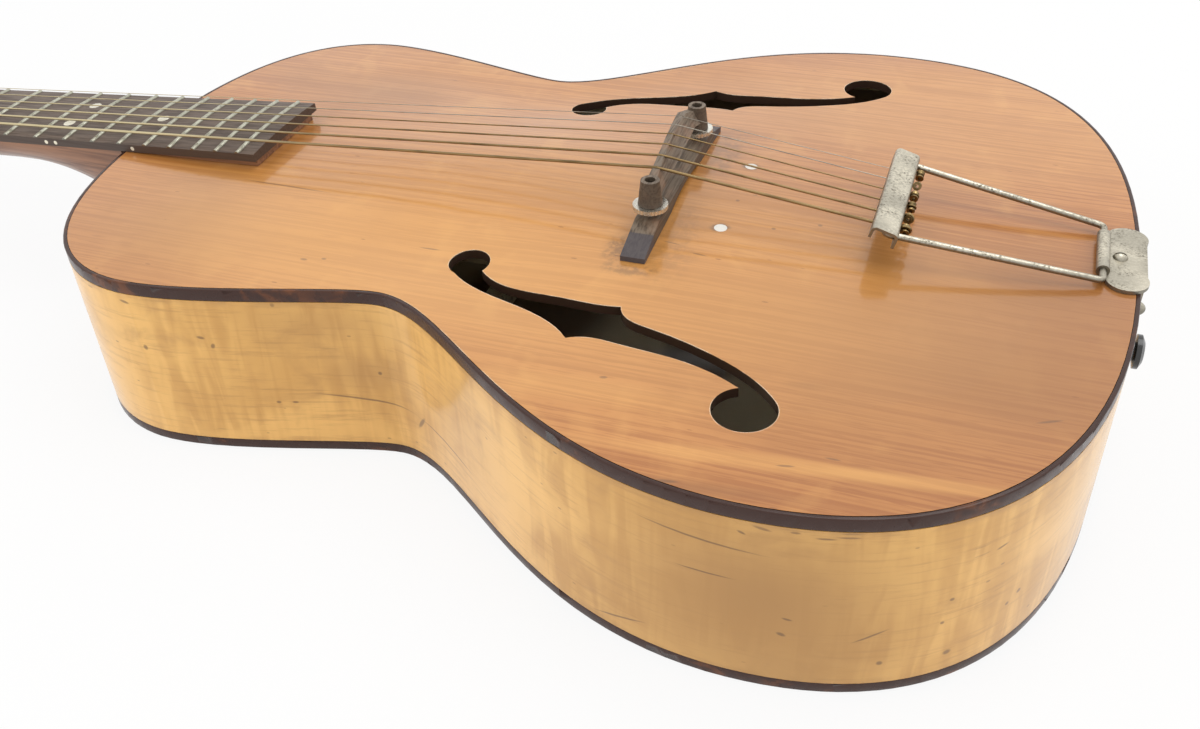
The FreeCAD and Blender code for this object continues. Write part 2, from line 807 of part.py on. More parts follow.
def make_bars():
    """Two tone bars under the top and three braces across the back."""
    bars = []
    start_x = (joint_x + tail_x - s.tone_bar_length) / 2
    for side in (-1, 1):
        low_y = side * s.tone_bar_offset - s.tone_bar_width / 2
        bar = box_between(
            Vector(start_x, low_y, under_top_z - s.tone_bar_height),
            Vector(start_x + s.tone_bar_length, low_y + s.tone_bar_width, rim_z + s.arch_height))
        bars.append(bar.common(below_arch))
    add_node("tone_bars", Part.makeCompound(bars))

    braces = []
    low_z = s.back_thickness + s.glue_gap
    for place in (s.upper_bout_place, s.waist_place, s.lower_bout_place):
        x = joint_x + place
        half = half_width(x) - s.rib_thickness - s.lining_width - s.tone_bar_height
        tip = half - s.tone_bar_offset
        corners = [
            Vector(x, -half, low_z), Vector(x, half, low_z),
            Vector(x, half, low_z + s.back_brace_tip), Vector(x, tip, low_z + s.back_brace_height),
            Vector(x, -tip, low_z + s.back_brace_height), Vector(x, -half, low_z + s.back_brace_tip)]
        face = Part.Face(Part.makePolygon(corners + corners[:1]))
        brace = face.extrude(Vector(s.back_brace_width, 0, 0))
        brace.translate(Vector(-s.back_brace_width / 2, 0, 0))
        braces.append(brace)
    add_node("back_braces", Part.makeCompound(braces))


# neck

def board_half_width(x):
    """Gives half the fretboard's width along the neck frame."""
    share = (x - nut_x) / (board_end_x - nut_x)
    return (s.nut_width + (s.board_end_width - s.nut_width) * share) / 2


def fret_place(number):
    """Gives a fret's place along the neck frame."""
    return -joint_x - s.scale_length * 2 ** (-number / 12)


def neck_section(x, half, depth):
    """Draws one round-backed cross-section of the neck."""
    points = []
    for step in range(SECTION_STEPS + 1):
        angle = math.pi * step / SECTION_STEPS
        points.append(Vector(x, half * math.cos(angle), -depth * math.sin(angle)))
    back = spline_edge(points)
    front = Part.LineSegment(points[-1], points[0]).toShape()
    return Part.Wire([back, front])


def neck_depth(x):
    """Gives the neck's depth behind the board, growing into the heel."""
    share = 1 - x / nut_x
    depth = s.neck_depth_at_nut + (s.neck_depth_at_heel - s.neck_depth_at_nut) * share
    if x > -s.heel_run:
        into_heel = (x + s.heel_run) / (s.heel_run + s.heel_overrun)
        depth += (rim_z - s.heel_lift - depth) * into_heel ** HEEL_POWER
    return depth


def make_neck():
    """Neck with its heel, dovetail tenon and headstock, and the rod let into it."""
    run = s.heel_overrun - nut_back_x
    places = [nut_back_x + run * step / NECK_STEPS for step in range(NECK_STEPS + 1)]
    sections = [neck_section(x, board_half_width(x), neck_depth(x)) for x in places]
    blend = neck_section(nut_back_x - s.head_blend, s.nut_width / 4, s.neck_depth_at_nut)
    shaft = Part.makeLoft(sections, True, False)
    shaft = shaft.fuse(Part.makeLoft([blend, sections[0]], True, True))
    face_cut = box_between(Vector(-s.head_length, -s.head_width, 0),
                           Vector(0, s.head_width, s.head_thickness))
    face_cut.Placement = head_frame
    board_side = box_between(Vector(nut_back_x - s.head_blend, -s.nut_width, 0),
                             Vector(s.heel_overrun, s.nut_width, s.head_thickness))
    board_side.Placement = neck_frame
    shaft.Placement = neck_frame
    body_side = box_between(Vector(joint_x, -s.nut_width, -s.body_depth),
                            Vector(joint_x + s.body_length, s.nut_width, s.body_depth * 2))
    shaft = shaft.cut([body_side, face_cut, board_side])

    head = prism(head_wire(), -s.head_thickness, 0)
    head.Placement = head_frame
    bore = [post_bore(number) for number in range(1, STRING_COUNT + 1)]
    shanks = [screw_shank(place) for place in plate_screw_places()]
    for tool in bore + shanks:
        tool.Placement = head_frame
    rod = rod_room()
    rod.Placement = neck_frame
    neck = shaft.fuse([head, tenon_shape(0)]).removeSplitter()
    neck = neck.cut(bore + shanks + [rod])
    add_node("neck", in_frame(neck, neck_frame), neck_frame)

    bar = add_part("Box", "NeckRod", Length="Sizes.rod_length", Width="Sizes.rod_width",
                   Height="Sizes.rod_height")
    bar.Placement = neck_frame.multiply(Placement(rod_corner(), Rotation()))
    keep_node("neck_rod", bar)


def make_riser():
    """Wedge between the arched top and the end of the fretboard."""
    half = board_half_width(0) - s.riser_inset
    wedge = box_between(Vector(s.riser_start, -half, -s.arch_height),
                        Vector(board_end_x - s.riser_inset, half, 0))
    wedge.Placement = neck_frame
    add_node("board_riser", in_frame(wedge.common(above_arch), neck_frame), neck_frame)


def rod_corner():
    """Gives the lowest corner of the stiffening rod in the neck frame."""
    return Vector(nut_x / 2 - s.rod_length / 2 + s.nut_length, -s.rod_width / 2, -s.rod_height)


def rod_room():
    """Makes the channel for the stiffening rod, open towards the board."""
    corner = rod_corner()
    far = corner + Vector(s.rod_length, s.rod_width, s.rod_height + s.cut_overrun)
    return box_between(corner, far)


def head_wire():
    """Draws the plain headstock outline in its own frame."""
    nut_half = s.nut_width / 2
    half = s.head_width / 2
    tip_half = s.head_tip_width / 2
    shoulder = Vector(-s.head_shoulder, half)
    corner = Vector(-s.head_length + s.head_tip_rise, tip_half)
    start = Vector(0, nut_half)
    handle = X_AXIS * (s.head_shoulder * HEAD_FLARE_HANDLE_SHARE)
    flare = bezier([start, start - handle, shoulder + handle, shoulder]).toShape()
    side = Part.LineSegment(shoulder, corner).toShape()
    mirrored = [edge.mirror(Vector(0, 0, 0), Y_AXIS) for edge in (flare, side)]
    tip = Part.Arc(corner, Vector(-s.head_length, 0), Vector(corner.x, -corner.y)).toShape()
    end = Part.LineSegment(Vector(0, -nut_half), start).toShape()
    return Part.Wire(Part.__sortEdges__([flare, side, tip, end] + mirrored))


def make_overlay():
    """Thin facing on the headstock, open round the posts."""
    sheet_shape = prism(head_wire(), 0, s.overlay_thickness)
    holes = [post_bore(number) for number in range(1, STRING_COUNT + 1)]
    add_node("headstock_overlay", sheet_shape.cut(holes), head_frame)


def board_crown(radius, low_x, high_x):
    """Makes the long cylinder that rounds the playing face."""
    centre = Vector(low_x, 0, s.board_thickness - s.board_radius)
    return Part.makeCylinder(radius, high_x - low_x, centre, X_AXIS)


def fret_sweep(profile, x):
    """Turns a fret profile, drawn at the board's face, about the board's radius."""
    reach = math.degrees(math.asin(board_half_width(x) / s.board_radius))
    face = Part.Face(Part.Wire(Part.__sortEdges__(profile)))
    centre = Vector(x, 0, s.board_thickness - s.board_radius)
    face.rotate(centre, X_AXIS, -reach)
    return face.revolve(centre, X_AXIS, 2 * reach)


def fret_profile(x):
    """Draws a fret's rounded crown and its tang."""
    face_z = s.board_thickness
    half = s.fret_width / 2
    tang = s.tang_width / 2
    left = Vector(x - half, 0, face_z)
    right = Vector(x + half, 0, face_z)
    corners = [right, Vector(x + tang, 0, face_z), Vector(x + tang, 0, face_z - s.tang_depth),
               Vector(x - tang, 0, face_z - s.tang_depth), Vector(x - tang, 0, face_z), left]
    edges = [Part.LineSegment(a, b).toShape() for a, b in zip(corners, corners[1:])]
    edges.append(Part.Arc(left, Vector(x, 0, face_z + s.fret_height), right).toShape())
    return edges


def tang_profile(x):
    """Draws the slot that a fret's tang sits in."""
    high_z = s.board_thickness + s.fret_height
    low_z = s.board_thickness - s.tang_depth
    tang = s.tang_width / 2
    corners = [Vector(x - tang, 0, low_z), Vector(x + tang, 0, low_z),
               Vector(x + tang, 0, high_z), Vector(x - tang, 0, high_z)]
    return [Part.LineSegment(a, b).toShape() for a, b in zip(corners, corners[1:] + corners[:1])]


def dot_places():
    """Gives the fret spaces with dots, and each dot's offset across the board."""
    places = []
    for number in DOT_FRETS:
        x = (fret_place(number - 1) + fret_place(number)) / 2
        offset = s.double_dot_spread / 2 if number == DOUBLE_DOT_FRET else 0
        for side in ((-1, 1) if offset else (1,)):
            places.append((x, side * offset))
    return places


def side_dot_places():
    """Gives the places of the small dots in the board's bass edge."""
    places = []
    for number in DOT_FRETS:
        x = (fret_place(number - 1) + fret_place(number)) / 2
        offset = s.double_side_dot_spread / 2 if number == DOUBLE_DOT_FRET else 0
        for side in ((-1, 1) if offset else (1,)):
            places.append(x + side * offset)
    return places


def make_fretboard():
    """Tapered, crowned board with its frets and inlaid dots."""
    nut_half = board_half_width(nut_x)
    end_half = board_half_width(board_end_x)
    corners = [Vector(nut_x, -nut_half), Vector(board_end_x, -end_half),
               Vector(board_end_x, end_half), Vector(nut_x, nut_half)]
    blank = prism(Part.makePolygon(corners + corners[:1]), 0, s.board_thickness)
    crown = board_crown(s.board_radius, nut_x, board_end_x)
    board = blank.common(crown)

    places = [fret_place(number) for number in range(1, FRET_COUNT + 1)]
    frets = [fret_sweep(fret_profile(x), x) for x in places]
    slots = [fret_sweep(tang_profile(x), x) for x in places]

    dots = []
    for x, y in dot_places():
        low = Vector(x, y, s.board_thickness - s.dot_depth)
        blank_dot = Part.makeCylinder(s.dot_diameter / 2, s.dot_depth + s.cut_overrun, low)
        dots.append(blank_dot.common(board))
    side_dots = []
    for x in side_dot_places():
        start = Vector(x, -board_half_width(x) - s.cut_overrun, s.side_dot_lift)
        blank_dot = Part.makeCylinder(
            s.side_dot_diameter / 2, s.side_dot_depth + s.cut_overrun, start, Y_AXIS)
        side_dots.append(blank_dot.common(board))

    add_node("fretboard", board.cut(slots + dots + side_dots), neck_frame)
    add_node("frets", Part.makeCompound(frets), neck_frame)
    add_node("position_dots", Part.makeCompound(dots), neck_frame)
    add_node("side_dots", Part.makeCompound(side_dots), neck_frame)


def string_share(number):
    """Gives a string's place across the set, from 0.5 on treble to -0.5 on bass."""
    return 0.5 - (number - 1) / (STRING_COUNT - 1)


def string_diameter(number):
    """Gives a string's diameter."""
    return float(sheet.get("string_%d_diameter" % number))


def make_nut():
    """Block at the end of the board with six string slots."""
    body = new_body("Nut", neck_frame.multiply(Placement(Vector(nut_back_x, 0, 0), Rotation())))
    profile = new_sketch(body, "NutProfile", "YZ_Plane")
    add_polygon(profile, [
        ("-Sizes.nut_width / 2", "0"), ("Sizes.nut_width / 2", "0"),
        ("Sizes.nut_width / 2", "Sizes.board_thickness"),
        ("Sizes.string_spread_at_nut / 2", "Sizes.board_thickness + Sizes.nut_rise"),
        ("-Sizes.string_spread_at_nut / 2", "Sizes.board_thickness + Sizes.nut_rise"),
        ("-Sizes.nut_width / 2", "Sizes.board_thickness")])
    add_feature(body, "Pad", "NutBlock", profile, Length="Sizes.nut_length")
    slots = new_sketch(body, "NutSlots", "YZ_Plane")
    low = "Sizes.board_thickness + Sizes.nut_rise - Sizes.nut_slot_depth"
    high = "Sizes.board_thickness + Sizes.nut_rise + Sizes.cut_overrun"
    for number in range(1, STRING_COUNT + 1):
        centre = "Sizes.string_spread_at_nut * %r" % string_share(number)
        half = "(Sizes.string_%d_diameter / 2 + Sizes.running_gap)" % number
        left = "%s - %s" % (centre, half)
        right = "%s + %s" % (centre, half)
        add_polygon(slots, [(left, low), (right, low), (right, high), (left, high)])
    add_feature(body, "Pocket", "NutSlotCut", slots, Length="Sizes.nut_length", Reversed=True)
    keep_node("nut", body)


# tuners, in the headstock frame

gear_pitch_radius = s.gear_module * GEAR_TEETH / 2
worm_pitch = math.pi * s.gear_module
worm_length = WORM_TURNS * worm_pitch
mesh_distance = gear_pitch_radius + s.worm_pitch_radius + s.mesh_gap
plate_face_z = -s.head_thickness - s.plate_thickness
worm_axis_z = plate_face_z - s.gear_lift


def tuner_side(number):
    """Gives 1 for a treble-side tuner and -1 for a bass-side one."""
    return 1 if number <= STRING_COUNT / 2 else -1


def post_place(number):
    """Gives a post's centre in the headstock frame."""
    rank = number - 1 if tuner_side(number) > 0 else STRING_COUNT - number
    x = -s.first_post_place - rank * s.post_spacing
    return Vector(x, tuner_side(number) * s.post_spread / 2, 0)


def post_bore(number):
    """Makes the stepped hole for a post and its ferrule."""
    place = post_place(number)
    wide = Part.makeCylinder(
        s.ferrule_diameter / 2, s.ferrule_depth + s.cut_overrun,
        place + Vector(0, 0, s.overlay_thickness - s.ferrule_depth))
    narrow = Part.makeCylinder(
        s.post_diameter / 2 + 2 * s.running_gap,
        s.head_thickness + s.cut_overrun, place + Vector(0, 0, -s.head_thickness - s.cut_overrun))
    return wide.fuse(narrow)


def plate_screw_places():
    """Gives the places of the screws that hold the tuner plates."""
    places = []
    for side in (-1, 1):
        for share in PLATE_SCREW_SHARES:
            x = -s.first_post_place - s.post_spacing * share
            places.append(Vector(x, side * s.post_spread / 2, 0))
    return places


def screw_shank(place):
    """Makes a plate screw's shank, from the plate into the headstock."""
    start = place + Vector(0, 0, plate_face_z)
    return Part.makeCylinder(s.plate_screw_diameter / 2, s.plate_screw_length, start)


def slotted_screw(start, axis, head_diameter, head_height, shank_diameter, length, slot):
    """Makes a round-head screw; the axis points out of the head."""
    radius = head_diameter / 2
    dome = Part.makeSphere((radius ** 2 + head_height ** 2) / (2 * head_height))
    dome.translate(Vector(0, 0, head_height - (radius ** 2 + head_height ** 2) / (2 * head_height)))
    head = dome.common(Part.makeCylinder(head_diameter, head_height))
    groove = box_between(Vector(-head_diameter, -slot / 2, head_height / 2),
                         Vector(head_diameter, slot / 2, head_height * 2))
    shank = Part.makeCylinder(shank_diameter / 2, length, Vector(0, 0, -length))
    screw = head.cut(groove).fuse(shank)
    screw.Placement = Placement(start, Rotation(Z_AXIS, axis))
    return screw


def make_tuner_plates():
    """Two strips behind the headstock, with lugs that carry the worm shafts."""
    for label, side in (("tuner_plate_bass", -1), ("tuner_plate_treble", 1)):
        numbers = [n for n in range(1, STRING_COUNT + 1) if tuner_side(n) == side]
        places = [post_place(number) for number in numbers]
        low_x = min(place.x for place in places) - s.plate_margin
        high_x = max(place.x for place in places) + s.plate_margin + mesh_distance
        y = places[0].y
        strip = box_between(
            Vector(low_x, y - s.plate_width / 2, plate_face_z),
            Vector(high_x, y + s.plate_width / 2, -s.head_thickness))
        corners = [edge for edge in strip.Edges if abs(edge.tangentAt(0).z) > 0.5]
        strip = strip.makeFillet(s.plate_round, corners)
        lugs = []
        bores = []
        for place in places:
            worm_x = place.x + mesh_distance
            for end in (-1, 1):
                inner_y = place.y + end * (worm_length / 2 + s.running_gap)
                low_y = min(inner_y, inner_y + end * s.lug_thickness)
                lugs.append(box_between(
                    Vector(worm_x - s.lug_width / 2, low_y, plate_face_z - s.lug_height),
                    Vector(worm_x + s.lug_width / 2, low_y + s.lug_thickness, plate_face_z)))
            bores.append(Part.makeCylinder(
                s.worm_shaft_diameter / 2 + s.running_gap, s.plate_width * 2,
                Vector(worm_x, place.y - s.plate_width, worm_axis_z), Y_AXIS))
            bores.append(Part.makeCylinder(
                s.post_diameter / 2 + s.running_gap, s.plate_thickness + 2 * s.cut_overrun,
                Vector(place.x, place.y, plate_face_z - s.cut_overrun)))
        shanks = [screw_shank(place) for place in plate_screw_places()]
        add_node(label, strip.fuse(lugs).cut(bores + shanks), head_frame)

    screws = []
    for place in plate_screw_places():
        screws.append(slotted_screw(
            place + Vector(0, 0, plate_face_z), Z_AXIS * -1, s.plate_screw_head_diameter,
            s.plate_screw_head_height, s.plate_screw_diameter, s.plate_screw_length,
            s.gear_screw_slot))
    add_node("tuner_screws", Part.makeCompound(screws), head_frame)


def make_ferrules():
    """Flanged sleeves that guide the posts in the headstock's face."""
    ferrules = []
    for number in range(1, STRING_COUNT + 1):
        place = post_place(number) + Vector(0, 0, s.overlay_thickness)
        sleeve = Part.makeCylinder(
            s.ferrule_diameter / 2, s.ferrule_depth, place - Z_AXIS * s.ferrule_depth)
        flange = Part.makeCone(
            s.ferrule_flange_diameter / 2,
            s.ferrule_flange_diameter / 2 - s.ferrule_flange_height / 2,
            s.ferrule_flange_height, place)
        bore = Part.makeCylinder(
            s.post_diameter / 2 + s.running_gap, s.ferrule_depth * 2,
            place - Z_AXIS * (s.ferrule_depth + s.cut_overrun))
        ferrules.append(sleeve.fuse(flange).cut(bore))
    add_node("tuner_ferrules", Part.makeCompound(ferrules), head_frame)


def gear_wire():
    """Draws the gear's toothed outline, with a gap facing the worm."""
    tip = gear_pitch_radius + s.gear_module * TOOTH_RISE_SHARE
    root = gear_pitch_radius - s.gear_module * TOOTH_FALL_SHARE
    pitch_angle = 2 * math.pi / GEAR_TEETH
    corners = []
    for tooth in range(GEAR_TEETH):
        middle = (tooth + 0.5) * pitch_angle
        for radius, share in ((root, -TOOTH_ROOT_SHARE), (tip, -TOOTH_TIP_SHARE),
                              (tip, TOOTH_TIP_SHARE), (root, TOOTH_ROOT_SHARE)):
            angle = middle + share * pitch_angle / 2
            corners.append(Vector(radius * math.cos(angle), radius * math.sin(angle)))
    return Part.makePolygon(corners + corners[:1])


def gear_shape():
    """Makes a gear in one piece with its post, screw head and waist."""
    half = s.gear_thickness / 2
    gear = prism(gear_wire(), worm_axis_z - half, worm_axis_z + half)
    hub = Part.makeCylinder(
        s.gear_hub_diameter / 2, plate_face_z - s.running_gap - worm_axis_z,
        Vector(0, 0, worm_axis_z))
    top_z = s.overlay_thickness + s.post_rise
    post = Part.makeCylinder(s.post_diameter / 2, top_z - worm_axis_z, Vector(0, 0, worm_axis_z))
    waist_low = s.overlay_thickness + s.post_waist_rise
    waist_radius = s.post_diameter / 2 - s.post_waist
    sleeve = Part.makeCylinder(s.post_diameter, s.post_waist_length, Vector(0, 0, waist_low))
    sleeve = sleeve.cut(Part.makeCylinder(waist_radius, s.post_waist_length,
                                          Vector(0, 0, waist_low)))
    screw = slotted_screw(
        Vector(0, 0, worm_axis_z - half), Z_AXIS * -1, s.gear_screw_diameter,
        s.gear_screw_height, s.worm_shaft_diameter, s.gear_thickness / 2, s.gear_screw_slot)
    return gear.fuse([hub, post, screw]).cut(sleeve).removeSplitter()


def worm_shape():
    """Makes a worm on its shaft, centred on the mesh, along the button's direction."""
    core = Part.makeCylinder(
        s.worm_root_radius, worm_length, Vector(0, 0, -worm_length / 2))
    inner = worm_length / 2 + s.lug_thickness + 2 * s.running_gap
    shaft = Part.makeCylinder(
        s.worm_shaft_diameter / 2, inner + shaft_reach(), Vector(0, 0, -inner))
    helix_turns = WORM_TURNS - 2 * THREAD_ROOT_SHARE
    height = helix_turns * worm_pitch
    helix = Part.makeHelix(worm_pitch, height, s.worm_root_radius)
    root_half = THREAD_ROOT_SHARE * worm_pitch / 2
    tip_half = THREAD_TIP_SHARE * worm_pitch / 2
    sunk = s.worm_root_radius - s.mesh_gap * 2
    corners = [Vector(sunk, 0, -root_half), Vector(s.worm_tip_radius, 0, -tip_half),
               Vector(s.worm_tip_radius, 0, tip_half), Vector(sunk, 0, root_half)]
    thread = Part.Wire(helix.Edges).makePipeShell(
        [Part.makePolygon(corners + corners[:1])], True, True)
    thread.rotate(Vector(0, 0, 0), Z_AXIS, thread_phase())
    thread.translate(Vector(0, 0, -height / 2))
    return core.fuse([thread, shaft]).removeSplitter()


def thread_phase():
    """Turns the thread so that a crest faces the gear's gap at the mesh's middle."""
    helix_turns = WORM_TURNS - 2 * THREAD_ROOT_SHARE
    towards_gear = 180.0
    return towards_gear - 360.0 * helix_turns / 2


def shaft_reach():
    """Gives how far a worm shaft runs from the mesh to inside the button."""
    edge = s.head_width / 2 - s.post_spread / 2
    return edge + s.button_gap + s.button_collar_length


def button_shape():
    """Makes an oval button with a collar, along its shaft from the mesh."""
    start = shaft_reach()
    blank = Part.Face(Part.Wire(Part.Ellipse(
        Vector(0, 0, 0), s.button_width / 2, s.button_length / 2).toShape()))
    knob = blank.extrude(Vector(0, 0, s.button_thickness))
    rims = [edge for edge in knob.Edges if edge.Closed]
    knob = knob.makeFillet(s.button_round, rims)
    knob.translate(Vector(0, 0, -s.button_thickness / 2))
    knob.rotate(Vector(0, 0, 0), X_AXIS, 90)
    knob.translate(Vector(0, 0, start + s.button_length / 2))
    collar = Part.makeCylinder(
        s.button_collar_diameter / 2, s.button_collar_length + s.button_length / 2,
        Vector(0, 0, start - s.button_collar_length))
    bore = Part.makeCylinder(s.worm_shaft_diameter / 2, start)
    return knob.fuse(collar).cut(bore).removeSplitter()


def make_tuners():
    """Six gears with posts, six worms and six buttons."""
    gear = gear_shape()
    worm = worm_shape()
    button = button_shape()
    for number in range(1, STRING_COUNT + 1):
        place = post_place(number)
        side = tuner_side(number)
        gear_at = head_frame.multiply(Placement(place, Rotation()))
        mesh_at = Vector(place.x + mesh_distance, place.y, worm_axis_z)
        shaft_turn = Rotation(X_AXIS, X_AXIS.cross(Y_AXIS * side) * -1, Y_AXIS * side, "ZXY")
        worm_at = head_frame.multiply(Placement(mesh_at, shaft_turn))
        add_node("tuner_gear_%d" % number, gear, gear_at)
        add_node("tuner_worm_%d" % number, worm, worm_at)
        add_node("tuner_button_%d" % number, button, worm_at)


# bridge

bridge_crown_z = rim_z + arch_rise(s.bridge_place, 0)
base_top_z = bridge_crown_z + s.bridge_height
wheel_low_z = base_top_z + s.wheel_lift
saddle_low_z = wheel_low_z + s.wheel_thickness + s.running_gap


def make_bridge():
    """Base fitted to the arch, two posts, two thumbwheels and the saddle."""
    half = s.bridge_length / 2
    shoulder = s.bridge_shoulder / 2
    tip_z = rim_z + arch_rise(s.bridge_place, half) + s.bridge_tip_height
    low_x = s.bridge_place - s.bridge_width / 2
    facet = s.bridge_facet_spread / 2
    facet_z = base_top_z - s.bridge_facet_drop
    corners = [Vector(low_x, -half, rim_z), Vector(low_x, half, rim_z), Vector(low_x, half, tip_z),
               Vector(low_x, facet, facet_z), Vector(low_x, shoulder, base_top_z),
               Vector(low_x, -shoulder, base_top_z), Vector(low_x, -facet, facet_z),
               Vector(low_x, -half, tip_z)]
    block = Part.Face(Part.makePolygon(corners + corners[:1])).extrude(
        Vector(s.bridge_width, 0, 0))
    arch_half = s.bridge_arch_length / 2
    hollow_radius = (arch_half ** 2 + s.bridge_arch_height ** 2) / (2 * s.bridge_arch_height)
    hollow = Part.makeCylinder(
        hollow_radius, s.bridge_width + 2 * s.cut_overrun,
        Vector(low_x - s.cut_overrun, 0, bridge_crown_z + s.bridge_arch_height - hollow_radius),
        X_AXIS)
    posts = [post_room(side, post_foot(side).z, 0) for side in (-1, 1)]
    add_node("bridge_base", block.common(above_arch).cut([hollow] + posts))

    made = []
    for side in (-1, 1):
        post = add_part("Cylinder", "BridgePost", Radius="Sizes.bridge_post_diameter / 2",
                        Height="Sizes.bridge_post_length")
        post.Placement.Base = post_foot(side)
        made.append(post)
    pair = doc.addObject("Part::Compound", "BridgePosts")
    pair.Links = made
    keep_node("bridge_posts", pair)

    for label, side in (("thumbwheel_bass", -1), ("thumbwheel_treble", 1)):
        make_wheel(label, side)
    add_node("bridge_saddle", saddle_shape())


def post_foot(side):
    """Gives the bottom of a bridge post, sunk in the base."""
    return Vector(s.bridge_place, side * s.bridge_post_spread / 2, base_top_z - s.bridge_post_depth)


def post_room(side, low_z, gap):
    """Makes the space round a bridge post from a height upwards, grown by a gap."""
    start = Vector(s.bridge_place, side * s.bridge_post_spread / 2, low_z)
    return Part.makeCylinder(s.bridge_post_diameter / 2 + gap, s.bridge_post_length, start)


def make_wheel(label, side):
    """Notched disc on a bridge post, carrying the saddle."""
    place = Vector(s.bridge_place, side * s.bridge_post_spread / 2, wheel_low_z)
    body = new_body(label.title().replace("_", ""), Placement(place, Rotation()))
    disc = new_sketch(body, "Disc", "XY_Plane")
    add_circle(disc, ("0", "0"), "Sizes.wheel_diameter")
    add_circle(disc, ("0", "0"), "Sizes.bridge_post_diameter + 2 * Sizes.running_gap")
    add_feature(body, "Pad", "DiscPad", disc, Length="Sizes.wheel_thickness")
    notch = new_sketch(body, "Notch", "XY_Plane")
    add_circle(notch, ("Sizes.wheel_diameter / 2", "0"), "2 * Sizes.wheel_notch_radius")
    cut = add_feature(body, "Pocket", "NotchCut", notch, Length="Sizes.wheel_thickness",
                      Reversed=True)
    ring = body.newObject("PartDesign::PolarPattern", "NotchRing")
    ring.Originals = [cut]
    ring.Axis = (next(item for item in body.Origin.OriginFeatures if item.Role == "Z_Axis"), [""])
    ring.Angle = 360
    ring.Occurrences = WHEEL_NOTCHES
    body.Tip = ring
    doc.recompute()
    keep_node(label, body)


def crest_lead(y):
    """Gives how far the saddle's crest lies towards the neck from the posts."""
    return s.saddle_crest_lead + y * math.tan(math.radians(s.saddle_slant))


def string_at_saddle(number):
    """Gives where a string breaks over the saddle."""
    share = string_share(number)
    y = share * s.string_spread_at_saddle
    crown = s.string_crown * (1 - (2 * share) ** 2)
    return Vector(s.bridge_place - crest_lead(y), y, rim_z + s.string_height_at_saddle + crown)


def string_at_nut(number):
    """Gives where a string breaks over the nut."""
    y = string_share(number) * s.string_spread_at_nut
    floor_z = s.board_thickness + s.nut_rise - s.nut_slot_depth
    centre_z = floor_z + string_diameter(number) / 2 + s.running_gap
    return neck_frame.multVec(Vector(nut_x - s.nut_length / 2, y, centre_z))


def saddle_section(y, lead, top_z):
    """Draws a cross-section of the saddle's beam with its crest set towards the neck."""
    foot = s.saddle_foot_width / 2
    crest = s.saddle_crest_width / 2
    foot_x = s.bridge_place - lead * FOOT_LEAD_SHARE
    crest_x = s.bridge_place - lead
    low_z = saddle_low_z + s.saddle_underside
    corners = [Vector(foot_x - foot, y, low_z), Vector(foot_x + foot, y, low_z),
               Vector(crest_x + crest, y, top_z), Vector(crest_x - crest, y, top_z)]
    return Part.makePolygon(corners + corners[:1])


def string_groove(number):
    """Makes the bent groove that a string runs in over the saddle."""
    radius = string_diameter(number) / 2 + 2 * s.running_gap
    centre = string_at_saddle(number)
    length = 2 * s.saddle_foot_width
    runs = [Part.makeCylinder(radius, length, centre, end - centre)
            for end in (string_at_nut(number), tail_bar_string_place(number))]
    return Part.makeSphere(radius, centre).fuse(runs)


def saddle_shape():
    """Makes the saddle: a crowned beam with a slanted crest between two tapered ears."""
    top_z = rim_z + s.string_height_at_saddle + s.string_crown
    reach = s.bridge_post_spread / 2
    edge_y = s.string_spread_at_saddle / 2
    crest_end = edge_y + s.saddle_crest_overrun
    sections = [
        saddle_section(-reach, 0, top_z),
        saddle_section(-crest_end, crest_lead(-crest_end), top_z),
        saddle_section(crest_end, crest_lead(crest_end), top_z),
        saddle_section(reach, 0, top_z)]
    crown_radius = (edge_y ** 2 + s.string_crown ** 2) / (2 * s.string_crown)
    crown = Part.makeCylinder(
        crown_radius, 4 * s.saddle_foot_width,
        Vector(s.bridge_place - 2 * s.saddle_foot_width, 0, top_z - crown_radius), X_AXIS)
    beam = Part.makeLoft(sections, True, True).common(crown)
    ears = []
    for side in (-1, 1):
        ears.append(Part.makeCone(
            s.saddle_ear_diameter / 2, s.saddle_ear_top_diameter / 2, s.saddle_ear_height,
            Vector(s.bridge_place, side * reach, saddle_low_z)))
    grooves = [string_groove(number) for number in range(1, STRING_COUNT + 1)]
    bores = [post_room(side, saddle_low_z - s.cut_overrun, 2 * s.running_gap) for side in (-1, 1)]
    return beam.fuse(ears).cut(grooves + bores).removeSplitter()


# tailpiece

hinge_place = Vector(tail_x - s.hinge_inset, 0, rim_z + s.hinge_rise)


def tail_bar_string_place(number):
    """Gives where a string meets the rear lip of the tailpiece bar."""
    y = string_share(number) * s.string_spread_at_tail
    place = Vector(s.tail_bar_depth, y, -s.tail_bar_sheet - s.tail_slot_lip)
    return tail_frame.multVec(place)


